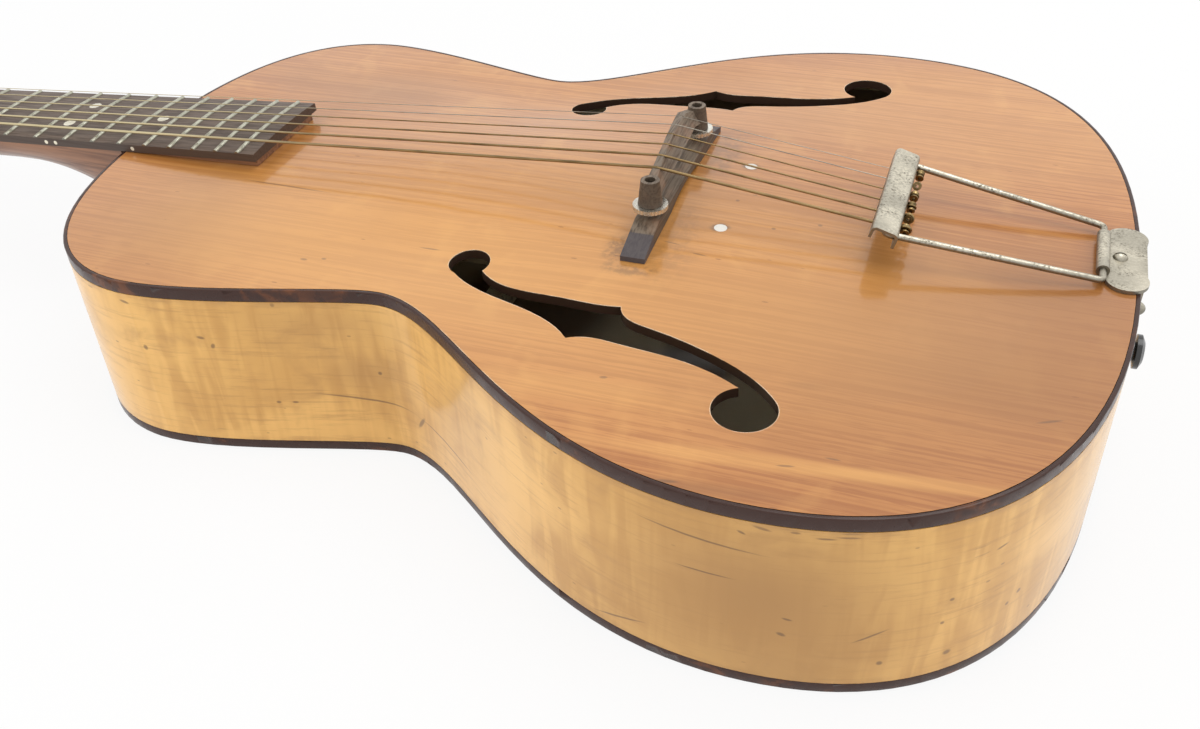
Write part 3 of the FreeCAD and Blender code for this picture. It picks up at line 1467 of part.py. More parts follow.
def make_tail_bar():
    """Folded sheet bar with a lip at the front and rear, slotted for the strings."""
    body = new_body("TailpieceBar", tail_frame)
    profile = new_sketch(body, "BarProfile", "XZ_Plane")
    front = "-Sizes.tail_bar_front_lip"
    rear = "-Sizes.tail_bar_rear_lip"
    inner_rear = "Sizes.tail_bar_depth - Sizes.tail_bar_sheet"
    add_polygon(profile, [
        ("0", "0"), ("0", front), ("Sizes.tail_bar_sheet", front),
        ("Sizes.tail_bar_sheet", "-Sizes.tail_bar_sheet"), (inner_rear, "-Sizes.tail_bar_sheet"),
        (inner_rear, rear), ("Sizes.tail_bar_depth", rear), ("Sizes.tail_bar_depth", "0")])
    profile.AttachmentOffset.Base = Vector(0, 0, -s.tail_bar_width / 2)
    pad = add_feature(body, "Pad", "BarPad", profile, Length="Sizes.tail_bar_width")
    bends = add_bends(body, "OuterBends", pad, 0, "Sizes.tail_bar_bend")
    add_bends(body, "InnerBends", bends, -s.tail_bar_sheet,
              "Sizes.tail_bar_bend - Sizes.tail_bar_sheet")
    slots = new_sketch(body, "StringSlots", "YZ_Plane")
    low = "-Sizes.tail_bar_rear_lip - Sizes.cut_overrun"
    high = "-Sizes.tail_bar_sheet - Sizes.tail_slot_lip / 2"
    for number in range(1, STRING_COUNT + 1):
        centre = "Sizes.string_spread_at_tail * %r" % string_share(number)
        left = "%s - Sizes.tail_slot_width / 2" % centre
        right = "%s + Sizes.tail_slot_width / 2" % centre
        add_polygon(slots, [(left, low), (right, low), (right, high), (left, high)])
    add_feature(body, "Pocket", "SlotCut", slots, Length="Sizes.tail_bar_depth", Reversed=True)
    holes = new_sketch(body, "WireHoles", "YZ_Plane")
    holes.AttachmentOffset.Base = Vector(0, 0, s.tail_bar_depth / 2)
    for side in (-1, 1):
        crossing = wire_at_lip(side)
        add_circle(holes, (repr(crossing.y), repr(crossing.z)),
                   "Sizes.tail_wire_diameter + 4 * Sizes.running_gap")
    add_feature(body, "Pocket", "WireHoleCut", holes, Length="Sizes.tail_bar_depth", Reversed=True)
    keep_node("tailpiece_bar", body)


def add_bends(body, name, base, level, radius):
    """Rounds the bar's two long edges that lie at one level."""
    names = []
    for number, edge in enumerate(base.Shape.Edges, start=1):
        box = edge.BoundBox
        middle_z = (box.ZMin + box.ZMax) / 2
        if box.YLength > s.tail_bar_width / 2 and abs(middle_z - level) < s.glue_gap:
            names.append("Edge%d" % number)
    fillet = body.newObject("PartDesign::Fillet", name)
    fillet.Base = (base, names)
    fillet.setExpression("Radius", radius)
    doc.recompute()
    return fillet


def wire_side(side):
    """Gives one side's hook, bend and turn of the tailpiece wire."""
    half = s.tail_wire_spread / 2
    hook = tail_frame.multVec(Vector(
        s.tail_wire_inset, side * (half - s.tail_wire_hook), -s.tail_wire_drop))
    bend = tail_frame.multVec(Vector(s.tail_wire_inset, side * half, -s.tail_wire_drop))
    turn = hinge_place + Y_AXIS * (side * s.tail_wire_end_spread / 2)
    return hook, bend, turn


def wire_at_lip(side):
    """Gives where the wire passes the bar's rear lip, in the bar's frame."""
    hook, bend, turn = [tail_frame.inverse().multVec(corner) for corner in wire_side(side)]
    run = turn - bend
    share = (s.tail_bar_depth - s.tail_bar_sheet / 2 - bend.x) / run.x
    return bend + run * share


def wire_corners():
    """Gives the corners of the tailpiece wire, from the bass hook to the treble hook."""
    return list(wire_side(-1)) + list(wire_side(1))[::-1]


def make_tail_wire():
    """One bent wire from the bar, through the hinge barrel and back."""
    edges = rounded_path(wire_corners(), s.tail_wire_bend)
    add_node("tailpiece_wire", tube_along(edges, s.tail_wire_diameter))


def hanger_screw_rooms():
    """Gives the holes for the hanger's two screws."""
    top, leg = hanger_screw_axes()
    down = Part.makeCylinder(
        s.hanger_screw_diameter / 2, s.hanger_screw_length + s.cut_overrun,
        top[0] + top[1] * s.cut_overrun, top[1] * -1)
    inwards = Part.makeCylinder(
        s.hanger_screw_diameter / 2, s.hanger_screw_length + s.cut_overrun,
        leg[0] + leg[1] * s.cut_overrun, leg[1] * -1)
    return down.fuse(inwards)


def hanger_screw_axes():
    """Gives each hanger screw's seat and the direction out of its head."""
    top = Vector(tail_x - s.hanger_screw_inset, 0, rim_z + s.glue_gap + s.hanger_thickness)
    leg = Vector(tail_x + s.glue_gap + s.hanger_thickness, 0, rim_z - s.hanger_leg_screw_drop)
    return (top, Z_AXIS), (leg, X_AXIS)


def make_hanger():
    """Bent plate over the tail with a rolled barrel for the wire, and its screws."""
    low_z = rim_z + s.glue_gap
    high_z = low_z + s.hanger_thickness
    out_x = tail_x + s.glue_gap + s.hanger_thickness
    half = s.hanger_width / 2
    leg_half = s.hanger_leg_width / 2
    tip_half = s.hanger_leg_tip_width / 2
    barrel_half = s.hinge_length / 2
    barrel_radius = s.tail_wire_diameter / 2 + s.running_gap + s.hinge_wall
    inner_x = hinge_place.x + barrel_radius / 2
    side_x = tail_x - s.hanger_screw_inset
    edges = [
        Part.LineSegment(Vector(inner_x, -barrel_half), Vector(inner_x, barrel_half)).toShape(),
        Part.Arc(Vector(inner_x, barrel_half), Vector(side_x, half),
                 Vector(out_x, leg_half)).toShape(),
        Part.LineSegment(Vector(out_x, leg_half), Vector(out_x, -leg_half)).toShape(),
        Part.Arc(Vector(out_x, -leg_half), Vector(side_x, -half),
                 Vector(inner_x, -barrel_half)).toShape(),
    ]
    tab = prism(Part.Wire(edges), low_z, high_z)
    leg_low = rim_z - s.hanger_leg_length
    leg_x = tail_x + s.glue_gap
    leg_edges = [
        Part.LineSegment(Vector(leg_x, -leg_half, high_z), Vector(leg_x, leg_half, high_z)).toShape(),
        Part.LineSegment(Vector(leg_x, leg_half, high_z),
                         Vector(leg_x, tip_half, leg_low + tip_half)).toShape(),
        Part.Arc(Vector(leg_x, tip_half, leg_low + tip_half), Vector(leg_x, 0, leg_low),
                 Vector(leg_x, -tip_half, leg_low + tip_half)).toShape(),
        Part.LineSegment(Vector(leg_x, -tip_half, leg_low + tip_half),
                         Vector(leg_x, -leg_half, high_z)).toShape(),
    ]
    leg = Part.Face(Part.Wire(leg_edges)).extrude(Vector(s.hanger_thickness, 0, 0))
    barrel_start = hinge_place - Y_AXIS * barrel_half
    barrel = Part.makeCylinder(barrel_radius, s.hinge_length, barrel_start, Y_AXIS)
    bore = Part.makeCylinder(
        s.tail_wire_diameter / 2 + s.running_gap, s.hinge_length + 2 * s.cut_overrun,
        barrel_start - Y_AXIS * s.cut_overrun, Y_AXIS)
    hanger = tab.fuse([leg, barrel]).removeSplitter()
    hanger = hanger.cut([bore, hanger_screw_rooms(), pin_collar_room()])
    add_node("tailpiece_hanger", hanger)

    screws = []
    for seat, axis in hanger_screw_axes():
        screws.append(slotted_screw(
            seat, axis, s.hanger_screw_head_diameter, s.hanger_screw_head_height,
            s.hanger_screw_diameter, s.hanger_screw_length, s.gear_screw_slot))
    add_node("hanger_screws", Part.makeCompound(screws))


def pin_collar_room():
    """Gives the hole in the hanger's leg for the end pin."""
    start = Vector(tail_x - s.cut_overrun, 0, rim_z - s.end_pin_drop)
    length = s.hanger_thickness + s.glue_gap + 2 * s.cut_overrun
    return Part.makeCylinder(s.end_pin_shank_diameter / 2, length, start, X_AXIS)


def make_end_pin():
    """Turned strap pin, pushed into the tail block."""
    place = Vector(tail_x + s.glue_gap + s.hanger_thickness, 0, rim_z - s.end_pin_drop)
    body = new_body("EndPin", Placement(place, Rotation()))
    profile = new_sketch(body, "PinProfile", "XZ_Plane")
    shank = "-(Sizes.end_pin_shank_length - Sizes.hanger_thickness)"
    neck = "Sizes.end_pin_neck_length"
    end = "Sizes.end_pin_neck_length + Sizes.end_pin_head_length"
    add_polygon(profile, [
        (shank, "0"), (shank, "Sizes.end_pin_shank_diameter / 2"),
        ("0", "Sizes.end_pin_shank_diameter / 2"), ("0", "Sizes.end_pin_collar_diameter / 2"),
        ("Sizes.end_pin_neck_length / 4", "Sizes.end_pin_collar_diameter / 2"),
        ("Sizes.end_pin_neck_length / 2", "Sizes.end_pin_neck_diameter / 2"),
        (neck, "Sizes.end_pin_neck_diameter / 2"),
        (neck + " + Sizes.end_pin_head_length / 6", "Sizes.end_pin_head_diameter / 2"),
        (neck + " + Sizes.end_pin_head_length * 2 / 3", "Sizes.end_pin_head_diameter / 2"),
        (end, "Sizes.end_pin_head_diameter / 3"), (end, "0")])
    axis = next(item for item in body.Origin.OriginFeatures if item.Role == "X_Axis")
    add_feature(body, "Revolution", "PinTurned", profile, ReferenceAxis=(axis, [""]), Angle=360)
    keep_node("end_pin", body)


# strings

def string_path(number):
    """Gives a string's edges from its ball end to the last turn round its post."""
    diameter = string_diameter(number)
    tail = tail_bar_string_place(number)
    saddle = string_at_saddle(number)
    slope = (tail - saddle).normalize()
    start = tail + slope * (s.ball_length / 2)
    nut = string_at_nut(number)

    post = post_place(number)
    spin = -tuner_side(number)
    radius = s.post_diameter / 2 + s.wrap_clearance + diameter / 2
    wrap_top = s.overlay_thickness + s.post_rise - s.wrap_top_drop
    pitch = diameter + s.wrap_gap
    nut_in_head = head_frame.inverse().multVec(nut)
    apart = Vector(post.x - nut_in_head.x, post.y - nut_in_head.y, 0)
    bearing = math.atan2(apart.y, apart.x)
    lean = math.asin(radius / apart.Length)
    first_angle = bearing + spin * lean - spin * math.pi / 2

    def on_helix(turn):
        angle = first_angle + spin * turn
        point = Vector(post.x + radius * math.cos(angle), post.y + radius * math.sin(angle),
                       wrap_top - pitch * turn / (2 * math.pi))
        tangent = Vector(-spin * radius * math.sin(angle), spin * radius * math.cos(angle),
                         -pitch / (2 * math.pi)).normalize()
        return head_frame.multVec(point), head_frame.Rotation.multVec(tangent)

    touch = on_helix(0)[0]
    edges = rounded_path([start, saddle, nut, touch], s.string_bend_radius)
    direction = (touch - nut).normalize()
    here = (touch, direction)
    for quarter in range(1, 4 * WRAP_TURNS + 2):
        there = on_helix(quarter * math.pi / 2)
        first, second = biarc_edges(here[0], here[1], there[0], there[1])
        edges += [first, second]
        here = there
    print("string %d: gap between turns %.2f mm" % (number, pitch - diameter))
    return edges


def make_strings():
    """Six strings, each with its ball end and its turns round a post."""
    for number in range(1, STRING_COUNT + 1):
        edges = string_path(number)
        tube = tube_along(edges, string_diameter(number))
        tail = tail_bar_string_place(number)
        slope = (tail - string_at_saddle(number)).normalize()
        centre = tail + slope * (s.ball_length / 2 + s.running_gap)
        ball = Part.makeCylinder(
            s.ball_diameter / 2, s.ball_length, centre - Y_AXIS * (s.ball_length / 2), Y_AXIS)
        add_node("string_%d" % number, tube.fuse(ball).removeSplitter())


make_top()
make_back()
make_ribs()
make_linings()
make_blocks()
make_bars()
make_neck()
make_riser()
make_overlay()
make_fretboard()
make_nut()
make_tuner_plates()
make_ferrules()
make_tuners()
make_bridge()
make_tail_bar()
make_tail_wire()
make_hanger()
make_end_pin()
make_strings()
doc.recompute()

for item in doc.Objects:
    if "Invalid" in item.State or "Error" in item.State:
        raise RuntimeError("%s is not up to date" % item.Name)

os.makedirs("parts", exist_ok=True)
for node in nodes:
    if node.Shape.isNull() or not node.Shape.isValid():
        raise RuntimeError("%s has no valid shape" % node.Label)
    node.Shape.exportStep("parts/%s.step" % node.Label)
print("%d nodes written" % len(nodes))
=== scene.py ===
"""Looks of an aged archtop guitar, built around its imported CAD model."""
from math import cos, pi, radians, sin

import bmesh
import bpy
from bpy.props import FloatProperty, FloatVectorProperty, PointerProperty
from mathutils import Matrix, Vector


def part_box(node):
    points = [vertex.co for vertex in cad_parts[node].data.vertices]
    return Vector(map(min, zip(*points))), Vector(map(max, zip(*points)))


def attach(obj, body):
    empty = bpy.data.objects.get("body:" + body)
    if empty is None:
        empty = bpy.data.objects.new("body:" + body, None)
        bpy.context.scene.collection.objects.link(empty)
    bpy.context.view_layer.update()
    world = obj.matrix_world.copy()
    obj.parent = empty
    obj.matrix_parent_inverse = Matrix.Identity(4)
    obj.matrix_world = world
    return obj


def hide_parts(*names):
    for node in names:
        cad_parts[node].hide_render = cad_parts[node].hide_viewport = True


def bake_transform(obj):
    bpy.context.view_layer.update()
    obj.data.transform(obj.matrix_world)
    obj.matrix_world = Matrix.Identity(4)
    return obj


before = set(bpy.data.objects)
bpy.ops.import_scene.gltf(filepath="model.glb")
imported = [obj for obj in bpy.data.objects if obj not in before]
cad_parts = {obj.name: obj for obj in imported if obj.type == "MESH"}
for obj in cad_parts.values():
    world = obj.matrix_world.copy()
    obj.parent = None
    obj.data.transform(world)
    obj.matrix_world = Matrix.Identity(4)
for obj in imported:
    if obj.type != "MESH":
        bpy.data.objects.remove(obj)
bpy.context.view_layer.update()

bl_info = {
    "name": "Aged archtop guitar",
    "version": (1, 0, 0),
    "blender": (4, 5, 0),
    "location": "View3D > Sidebar > Guitar",
    "description": "Finishes, strings and studio for an aged archtop guitar",
    "category": "Object",
}

NUMBERS = range(1, 7)
STRINGS = ["string_%d" % number for number in NUMBERS]
PLAIN_STRINGS = STRINGS[:2]

# facets, angles and distances for shaping new pieces
STRING_SIDES = 14
RING_STEPS = 24
LOOP_SIDES = 8
DOME_STEPS = 20
DOME_RINGS = 14
EDGE_STEPS = 3
FLAT_WITHIN = radians(0.5)
SMOOTH_BELOW = radians(40)
BINDING_CORNER = radians(50)
JOIN_WITHIN = 1e-6
CUT_WITHIN = 1e-7

# ring at a string's end: lean of each, then shares of its radius and of its width
RING_LEANS = dict(zip(STRINGS, (0.3, -0.4, 0.1, 0.5, -0.2, 0.35)))
RING_BORE = 0.42
RING_GROOVE = 0.78
RING_FACE = 0.5
RING_SHOULDER = 0.34
RING_GROOVE_EDGE = 0.18

# screw on the tail: height of its head, and the dome's radius in head radii
SCREW_HEAD = 0.0022
DOME_SPREAD = 1.08

# where a finish changes, in metres, from none of it to all of it
RIM_WIDTH = 0.0006
DIRT_UNDER_TOP = (0.0765, 0.0805)
DIRT_OVER_BACK = (0.0085, 0.0050)
BACK_INSIDE = (0.0030, 0.0034)
TREBLE_SIDE = (0.05, 0.08)
BRIDGE_END = (0.0486, 0.0494)
RUBBED_STRING = (-0.14, -0.27)

# studio
FILM_WIDTH = 36.0
NEAREST_SEEN = 0.01
SKY_COLOUR = (1.0, 0.985, 0.96, 1.0)
WHITE = (1.0, 1.0, 1.0, 1.0)
FLOOR_COLOUR = (0.82, 0.82, 0.82, 1.0)
FLOOR_ROUGHNESS = 0.9
SHADOW_EDGE = 0.5

# sockets of a colour mix
MIX_SHARE = 0
MIX_FIRST = 6
MIX_SECOND = 7
MIX_RESULT = 2


def tint(label, words, default):
    """Makes a colour setting."""
    return FloatVectorProperty(name=label, description=words, subtype="COLOR", size=3,
                               min=0.0, max=1.0, default=default)


def length(label, words, default):
    """Makes a length setting."""
    return FloatProperty(name=label, description=words, unit="LENGTH", default=default)


class GuitarFinish(bpy.types.PropertyGroup):
    """Colours and pattern sizes of the guitar's finishes."""

    top_light: tint("Top, pale grain", "Lacquered spruce between the grain lines", (0.516, 0.212, 0.055))
    top_dark: tint("Top, grain lines", "Lacquered spruce on the grain lines", (0.362, 0.125, 0.027))
    # also the colour of the painted shade on the top
    top_stain_and_shade: tint("Top, stains", "Old stains and sweat marks", (0.25, 0.092, 0.024))
    # also lightens broad patches of the top, partly painted light
    top_glow: tint("Top, pale streak", "Pale sapwood streaks", (0.76, 0.392, 0.112))
    # also the colour of the painted shadow beside the bridge base
    top_grime_and_shadow: tint("Top, grime", "Grey dirt by the bridge and in cracks", (0.10, 0.058, 0.030))
    side_light: tint("Sides, pale curl", "Maple between the curls", (0.78, 0.452, 0.133))
    side_dark: tint("Sides, dark curl", "Maple in the curls", (0.56, 0.295, 0.075))
    # also the colour of the painted shade on the bass side
    side_old_and_painted_shade: tint("Sides, old shade", "Brown shade of old lacquer", (0.40, 0.205, 0.060))
    side_dirt: tint("Sides, dirt", "Specks, cracks and worn lines", (0.105, 0.052, 0.022))
    raw_wood: tint("Raw wood", "Unfinished wood inside the body", (0.86, 0.82, 0.61))
    # painted shade inside the body
    painted_inner_shade: tint("Raw wood, dark", "Dirt and old shade inside the body", (0.17, 0.115, 0.075))
    # dark stain on the top's cut edges, darkened further as painted shade
    hole_edge: tint("Sound-hole edge", "Cut edge of the top", (0.034, 0.018, 0.012))
    # bright rim colour: partly chipped bare wood, partly a painted highlight on the rims' upper edges
    rim_chip_and_highlight: tint("Sound-hole rim", "Bare wood where the rim is chipped", (0.95, 0.78, 0.56))
    binding_dark: tint("Binding, dark", "Dark tortoise plastic", (0.042, 0.018, 0.013))
    binding_fleck: tint("Binding, flecks", "Amber flecks in the binding", (0.165, 0.055, 0.018))
    neck_light: tint("Neck, pale grain", "Stained neck wood", (0.26, 0.115, 0.050))
    neck_dark: tint("Neck, dark grain", "Stained neck wood in its pores", (0.13, 0.052, 0.024))
    rosewood_light: tint("Rosewood, dry", "Dry, greyed rosewood", (0.117, 0.078, 0.054))
    rosewood_dark: tint("Rosewood, pores", "Pores and dark lines of rosewood", (0.050, 0.031, 0.022))
    bridge_light: tint("Bridge, dry", "Dry, greyed wood of the bridge", (0.180, 0.138, 0.099))
    bridge_dark: tint("Bridge, pores", "Pores and dark lines of the bridge", (0.078, 0.056, 0.040))
    bridge_brown: tint("Bridge, worn", "Brown wood where the grey is rubbed off", (0.27, 0.160, 0.100))
    # painted slate-grey sheen on the bridge's end facets
    painted_end_sheen: tint("Bridge ends", "Slate-grey bloom on the bridge ends", (0.062, 0.054, 0.060))
    nickel: tint("Nickel", "Aged nickel plate", (0.60, 0.555, 0.45))
    nickel_pit: tint("Nickel, pits", "Tarnish and pits in the plate", (0.135, 0.108, 0.070))
    wheel_metal: tint("Thumbwheels", "Bright plate of the thumbwheels", (0.80, 0.775, 0.69))
    fret_metal: tint("Fret wire", "Worn fret wire", (0.50, 0.49, 0.40))
    brass: tint("Brass", "Aged gear brass", (0.36, 0.255, 0.115))
    bronze: tint("Wound strings", "Bronze winding", (0.30, 0.205, 0.095))
    string_worn: tint("Strings, worn", "Strings rubbed bright over the fretboard", (0.66, 0.56, 0.34))
    steel: tint("Plain strings", "String steel", (0.42, 0.385, 0.320))
    pearl: tint("Pearl dots", "Pearl of the position dots", (0.74, 0.70, 0.56))
    plug: tint("Top plugs", "White plugs in the top", (0.80, 0.77, 0.70))
    bone: tint("Bone", "Bone of the nut", (0.66, 0.57, 0.39))
    button: tint("Buttons", "Yellowed plastic of the tuner buttons", (0.62, 0.50, 0.28))
    facing: tint("Headstock facing", "Black facing of the headstock", (0.014, 0.011, 0.010))
    pin: tint("End pin", "Black end pin", (0.012, 0.012, 0.013))
    grain_width: length("Grain width", "Spacing of the fine grain lines", 0.0015)
    curl_width: length("Curl width", "Spacing of the curl in the sides", 0.011)
    screw_rise: length("Screw rise", "Height of the domed screw on the tail", 0.0043)
    binding_round: length("Binding edge", "Rounding of the binding's edges", 0.0005)


class GuitarStage(bpy.types.PropertyGroup):
    """Camera, lights and floor."""

    camera_place: FloatVectorProperty(name="Camera place", description="Where the camera stands",
                                      subtype="TRANSLATION", default=(0.1298, -0.4578, 0.3568))
    camera_aim: FloatVectorProperty(name="Camera aim", description="Direction the camera looks in",
                                    subtype="DIRECTION", default=(-0.2780, 0.7448, -0.6066))
    camera_right: FloatVectorProperty(name="Camera right", description="Direction of the frame's right",
                                      subtype="DIRECTION", default=(0.9451, 0.3251, -0.0339))
    lens: FloatProperty(name="Lens", description="Focal length on a 36 mm wide film",
                        subtype="DISTANCE_CAMERA", default=36.11)
    floor_size: length("Floor size", "Width of the pale floor", 8.0)
    floor_gap: length("Floor gap", "How far the floor lies under the guitar", 0.0005)
    floor_white: FloatProperty(name="Floor white", description="Share of plain white in the floor's look",
                               subtype="FACTOR", default=0.88)
    shadow_reach: length("Shadow reach", "How far from the middle the floor keeps a shadow", 1.8)
    lamp_aim: FloatVectorProperty(name="Lamp aim", description="Point that the lamps face",
                                  subtype="TRANSLATION", default=(0.0, 0.0, 0.05))
    sky_strength: FloatProperty(name="Sky strength", description="Even light from all round", default=0.42)
    key_power: FloatProperty(name="Key power", description="Soft light overhead", unit="POWER", default=8.0)
    left_power: FloatProperty(name="Left power", description="Soft light on the left", unit="POWER",
                              default=37.0)
    right_power: FloatProperty(name="Right power", description="Soft light on the right", unit="POWER",
                               default=28.0)
    back_power: FloatProperty(name="Back power", description="Soft light from behind the guitar",
                              unit="POWER", default=14.0)


# node helpers

class Finish:
    """Builds one material, node by node, around a principled shader."""

    def __init__(self, name, **constants):
        self.material = bpy.data.materials.new(name)
        self.material.use_nodes = True
        self.tree = self.material.node_tree
        self.shader = next(n for n in self.tree.nodes if n.type == "BSDF_PRINCIPLED")
        self.coords = self.tree.nodes.new("ShaderNodeTexCoord")
        self.place = self.coords.outputs["Object"]
        for socket, value in constants.items():
            self.shader.inputs[socket.replace("_", " ")].default_value = value

    def node(self, kind, **settings):
        """Adds a node and sets its own settings."""
        made = self.tree.nodes.new("ShaderNode" + kind)
        for name, value in settings.items():
            setattr(made, name, value)
        return made

    def feed(self, socket, value):
        """Links an output to a socket, or sets a constant on it."""
        if isinstance(value, bpy.types.NodeSocket):
            self.tree.links.new(value, socket)
        elif isinstance(value, (int, float)):
            socket.default_value = value
        else:
            socket.default_value = (*value, 1.0)[:len(socket.default_value)]

    def noise(self, scale, detail=3.0, roughness=0.55, distortion=0.0):
        """Gives noise that is stretched by a scale per axis, in turns per metre."""
        mapping = self.node("Mapping")
        mapping.inputs["Scale"].default_value = scale
        self.feed(mapping.inputs["Vector"], self.place)
        noise = self.node("TexNoise")
        noise.inputs["Scale"].default_value = 1.0
        noise.inputs["Detail"].default_value = detail
        noise.inputs["Roughness"].default_value = roughness
        noise.inputs["Distortion"].default_value = distortion
        self.feed(noise.inputs["Vector"], mapping.outputs["Vector"])
        return noise.outputs["Fac"]

    def patch(self, centre, radii, turn=(0.0, 0.0, 0.0)):
        """Gives a soft spot that is one at its centre and zero at its turned radii."""
        mapping = self.node("Mapping", vector_type="TEXTURE")
        mapping.inputs["Location"].default_value = centre
        mapping.inputs["Rotation"].default_value = turn
        mapping.inputs["Scale"].default_value = radii
        self.feed(mapping.inputs["Vector"], self.place)
        spot = self.node("TexGradient", gradient_type="SPHERICAL")
        self.feed(spot.inputs["Vector"], mapping.outputs["Vector"])
        return spot.outputs["Fac"]

    def top_patch(self, centre, radii, turn):
        """Gives a soft spot that is turned about the upright axis."""
        return self.patch(centre, radii, (0.0, 0.0, turn))

    def band(self, value, low, high, to_low=0.0, to_high=1.0):
        """Maps a value between two limits, clamped."""
        made = self.node("MapRange", interpolation_type="SMOOTHSTEP")
        self.feed(made.inputs["Value"], value)
        for socket, number in zip(("From Min", "From Max", "To Min", "To Max"),
                                  (low, high, to_low, to_high)):
            made.inputs[socket].default_value = number
        return made.outputs["Result"]

    def math(self, operation, first, second=0.0):
        """Combines two values."""
        made = self.node("Math", operation=operation)
        self.feed(made.inputs[0], first)
        self.feed(made.inputs[1], second)
        return made.outputs[0]

    def both(self, first, second):
        """Gives the product of two values."""
        return self.math("MULTIPLY", first, second)

    def mix(self, share, first, second):
        """Mixes two colours."""
        made = self.node("Mix", data_type="RGBA")
        self.feed(made.inputs[MIX_SHARE], share)
        self.feed(made.inputs[MIX_FIRST], first)
        self.feed(made.inputs[MIX_SECOND], second)
        return made.outputs[MIX_RESULT]

    def axis(self, name, source=None):
        """Gives one coordinate of the place, or of another vector."""
        made = self.node("SeparateXYZ")
        self.feed(made.inputs[0], source or self.place)
        return made.outputs[name]

    def upward(self):
        """Gives how far the surface faces straight up."""
        return self.axis("Z", self.coords.outputs["Normal"])

    def spots(self, scale, size):
        """Gives scattered small spots, one inside and zero outside."""
        mapping = self.node("Mapping")
        mapping.inputs["Scale"].default_value = scale
        self.feed(mapping.inputs["Vector"], self.place)
        cells = self.node("TexVoronoi")
        cells.inputs["Scale"].default_value = 1.0
        self.feed(cells.inputs["Vector"], mapping.outputs["Vector"])
        return self.band(cells.outputs["Distance"], size * 0.5, size, 1.0, 0.0)

    def edge(self, reach):
        """Gives one along the piece's sharp upper edges and zero away from them."""
        rounded = self.node("Bevel", samples=4)
        rounded.inputs["Radius"].default_value = reach
        surface = self.node("NewGeometry")
        likeness = self.node("VectorMath", operation="DOT_PRODUCT")
        self.feed(likeness.inputs[0], rounded.outputs["Normal"])
        self.feed(likeness.inputs[1], surface.outputs["Normal"])
        upper = self.band(self.axis("Z", rounded.outputs["Normal"]), 0.10, 0.30)
        return self.both(self.band(likeness.outputs["Value"], 0.99, 0.93), upper)

    def stain(self, under, colour, mark, share, sharp=0.0):
        """Lays a coloured mark over a colour; a sharp mark has a clear edge."""
        amount = self.band(mark, 0.0, 1.0 - sharp, 0.0, share)
        return self.mix(amount, under, colour)

    def colour(self, value):
        """Sets the surface colour."""
        self.feed(self.shader.inputs["Base Color"], value)

    def rough(self, value):
        """Sets the roughness."""
        self.feed(self.shader.inputs["Roughness"], value)

    def bump(self, height, distance, strength=0.5):
        """Roughens the surface by a height pattern."""
        made = self.node("Bump")
        made.inputs["Strength"].default_value = strength
        made.inputs["Distance"].default_value = distance
        self.feed(made.inputs["Height"], height)
        self.feed(self.shader.inputs["Normal"], made.outputs["Normal"])


def even(size):
    """Gives a scale that is the same along each axis."""
    return (size, size, size)


def darker(colour, share):
    """Gives a colour with its light cut to a share."""
    return [share * part for part in colour]


def paint(finish, *names):
    """Gives CAD nodes or new pieces a material."""
    for name in names:
        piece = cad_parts.get(name) or bpy.data.objects[name]
        piece.data.materials.clear()
        piece.data.materials.append(finish.material)


# finishes

# marks on the top, stains and wear, some of them painted shade: place, half lengths, turn about the upright
# axis, share
TOP_STAINS_AND_SHADE = (
    ((-0.177, 0.065, 0.088), (0.075, 0.04, 0.05), 0.0, 0.6),
    ((-0.238, 0.075, 0.087), (0.04, 0.03, 0.05), 0.0, 0.4),
    ((-0.212, -0.047, 0.087), (0.06, 0.026, 0.05), -0.2, 0.5),
    ((-0.15, -0.036, 0.089), (0.06, 0.02, 0.05), 0.0, 0.4),
    ((-0.045, -0.018, 0.092), (0.05, 0.016, 0.05), 0.0, 0.35),
    # broad patch towards the lower right, partly painted shade
    ((0.135, -0.085, 0.087), (0.15, 0.12, 0.09), 0.0, 0.75),
    # patch on the upper bout's bass side, partly painted shade
    ((-0.215, -0.08, 0.086), (0.085, 0.055, 0.05), 0.0, 0.55),
    # patch right of the tailpiece, partly painted shade
    ((0.165, -0.03, 0.086), (0.06, 0.05, 0.05), 0.0, 0.55),
    # painted shade under the tailpiece
    ((0.1, -0.034, 0.088), (0.022, 0.018, 0.05), 0.0, 0.6),
    ((0.081, -0.117, 0.087), (0.012, 0.004, 0.05), 0.2, 0.55),
    ((0.058, -0.179, 0.086), (0.06, 0.006, 0.05), 0.1, 0.55),
)
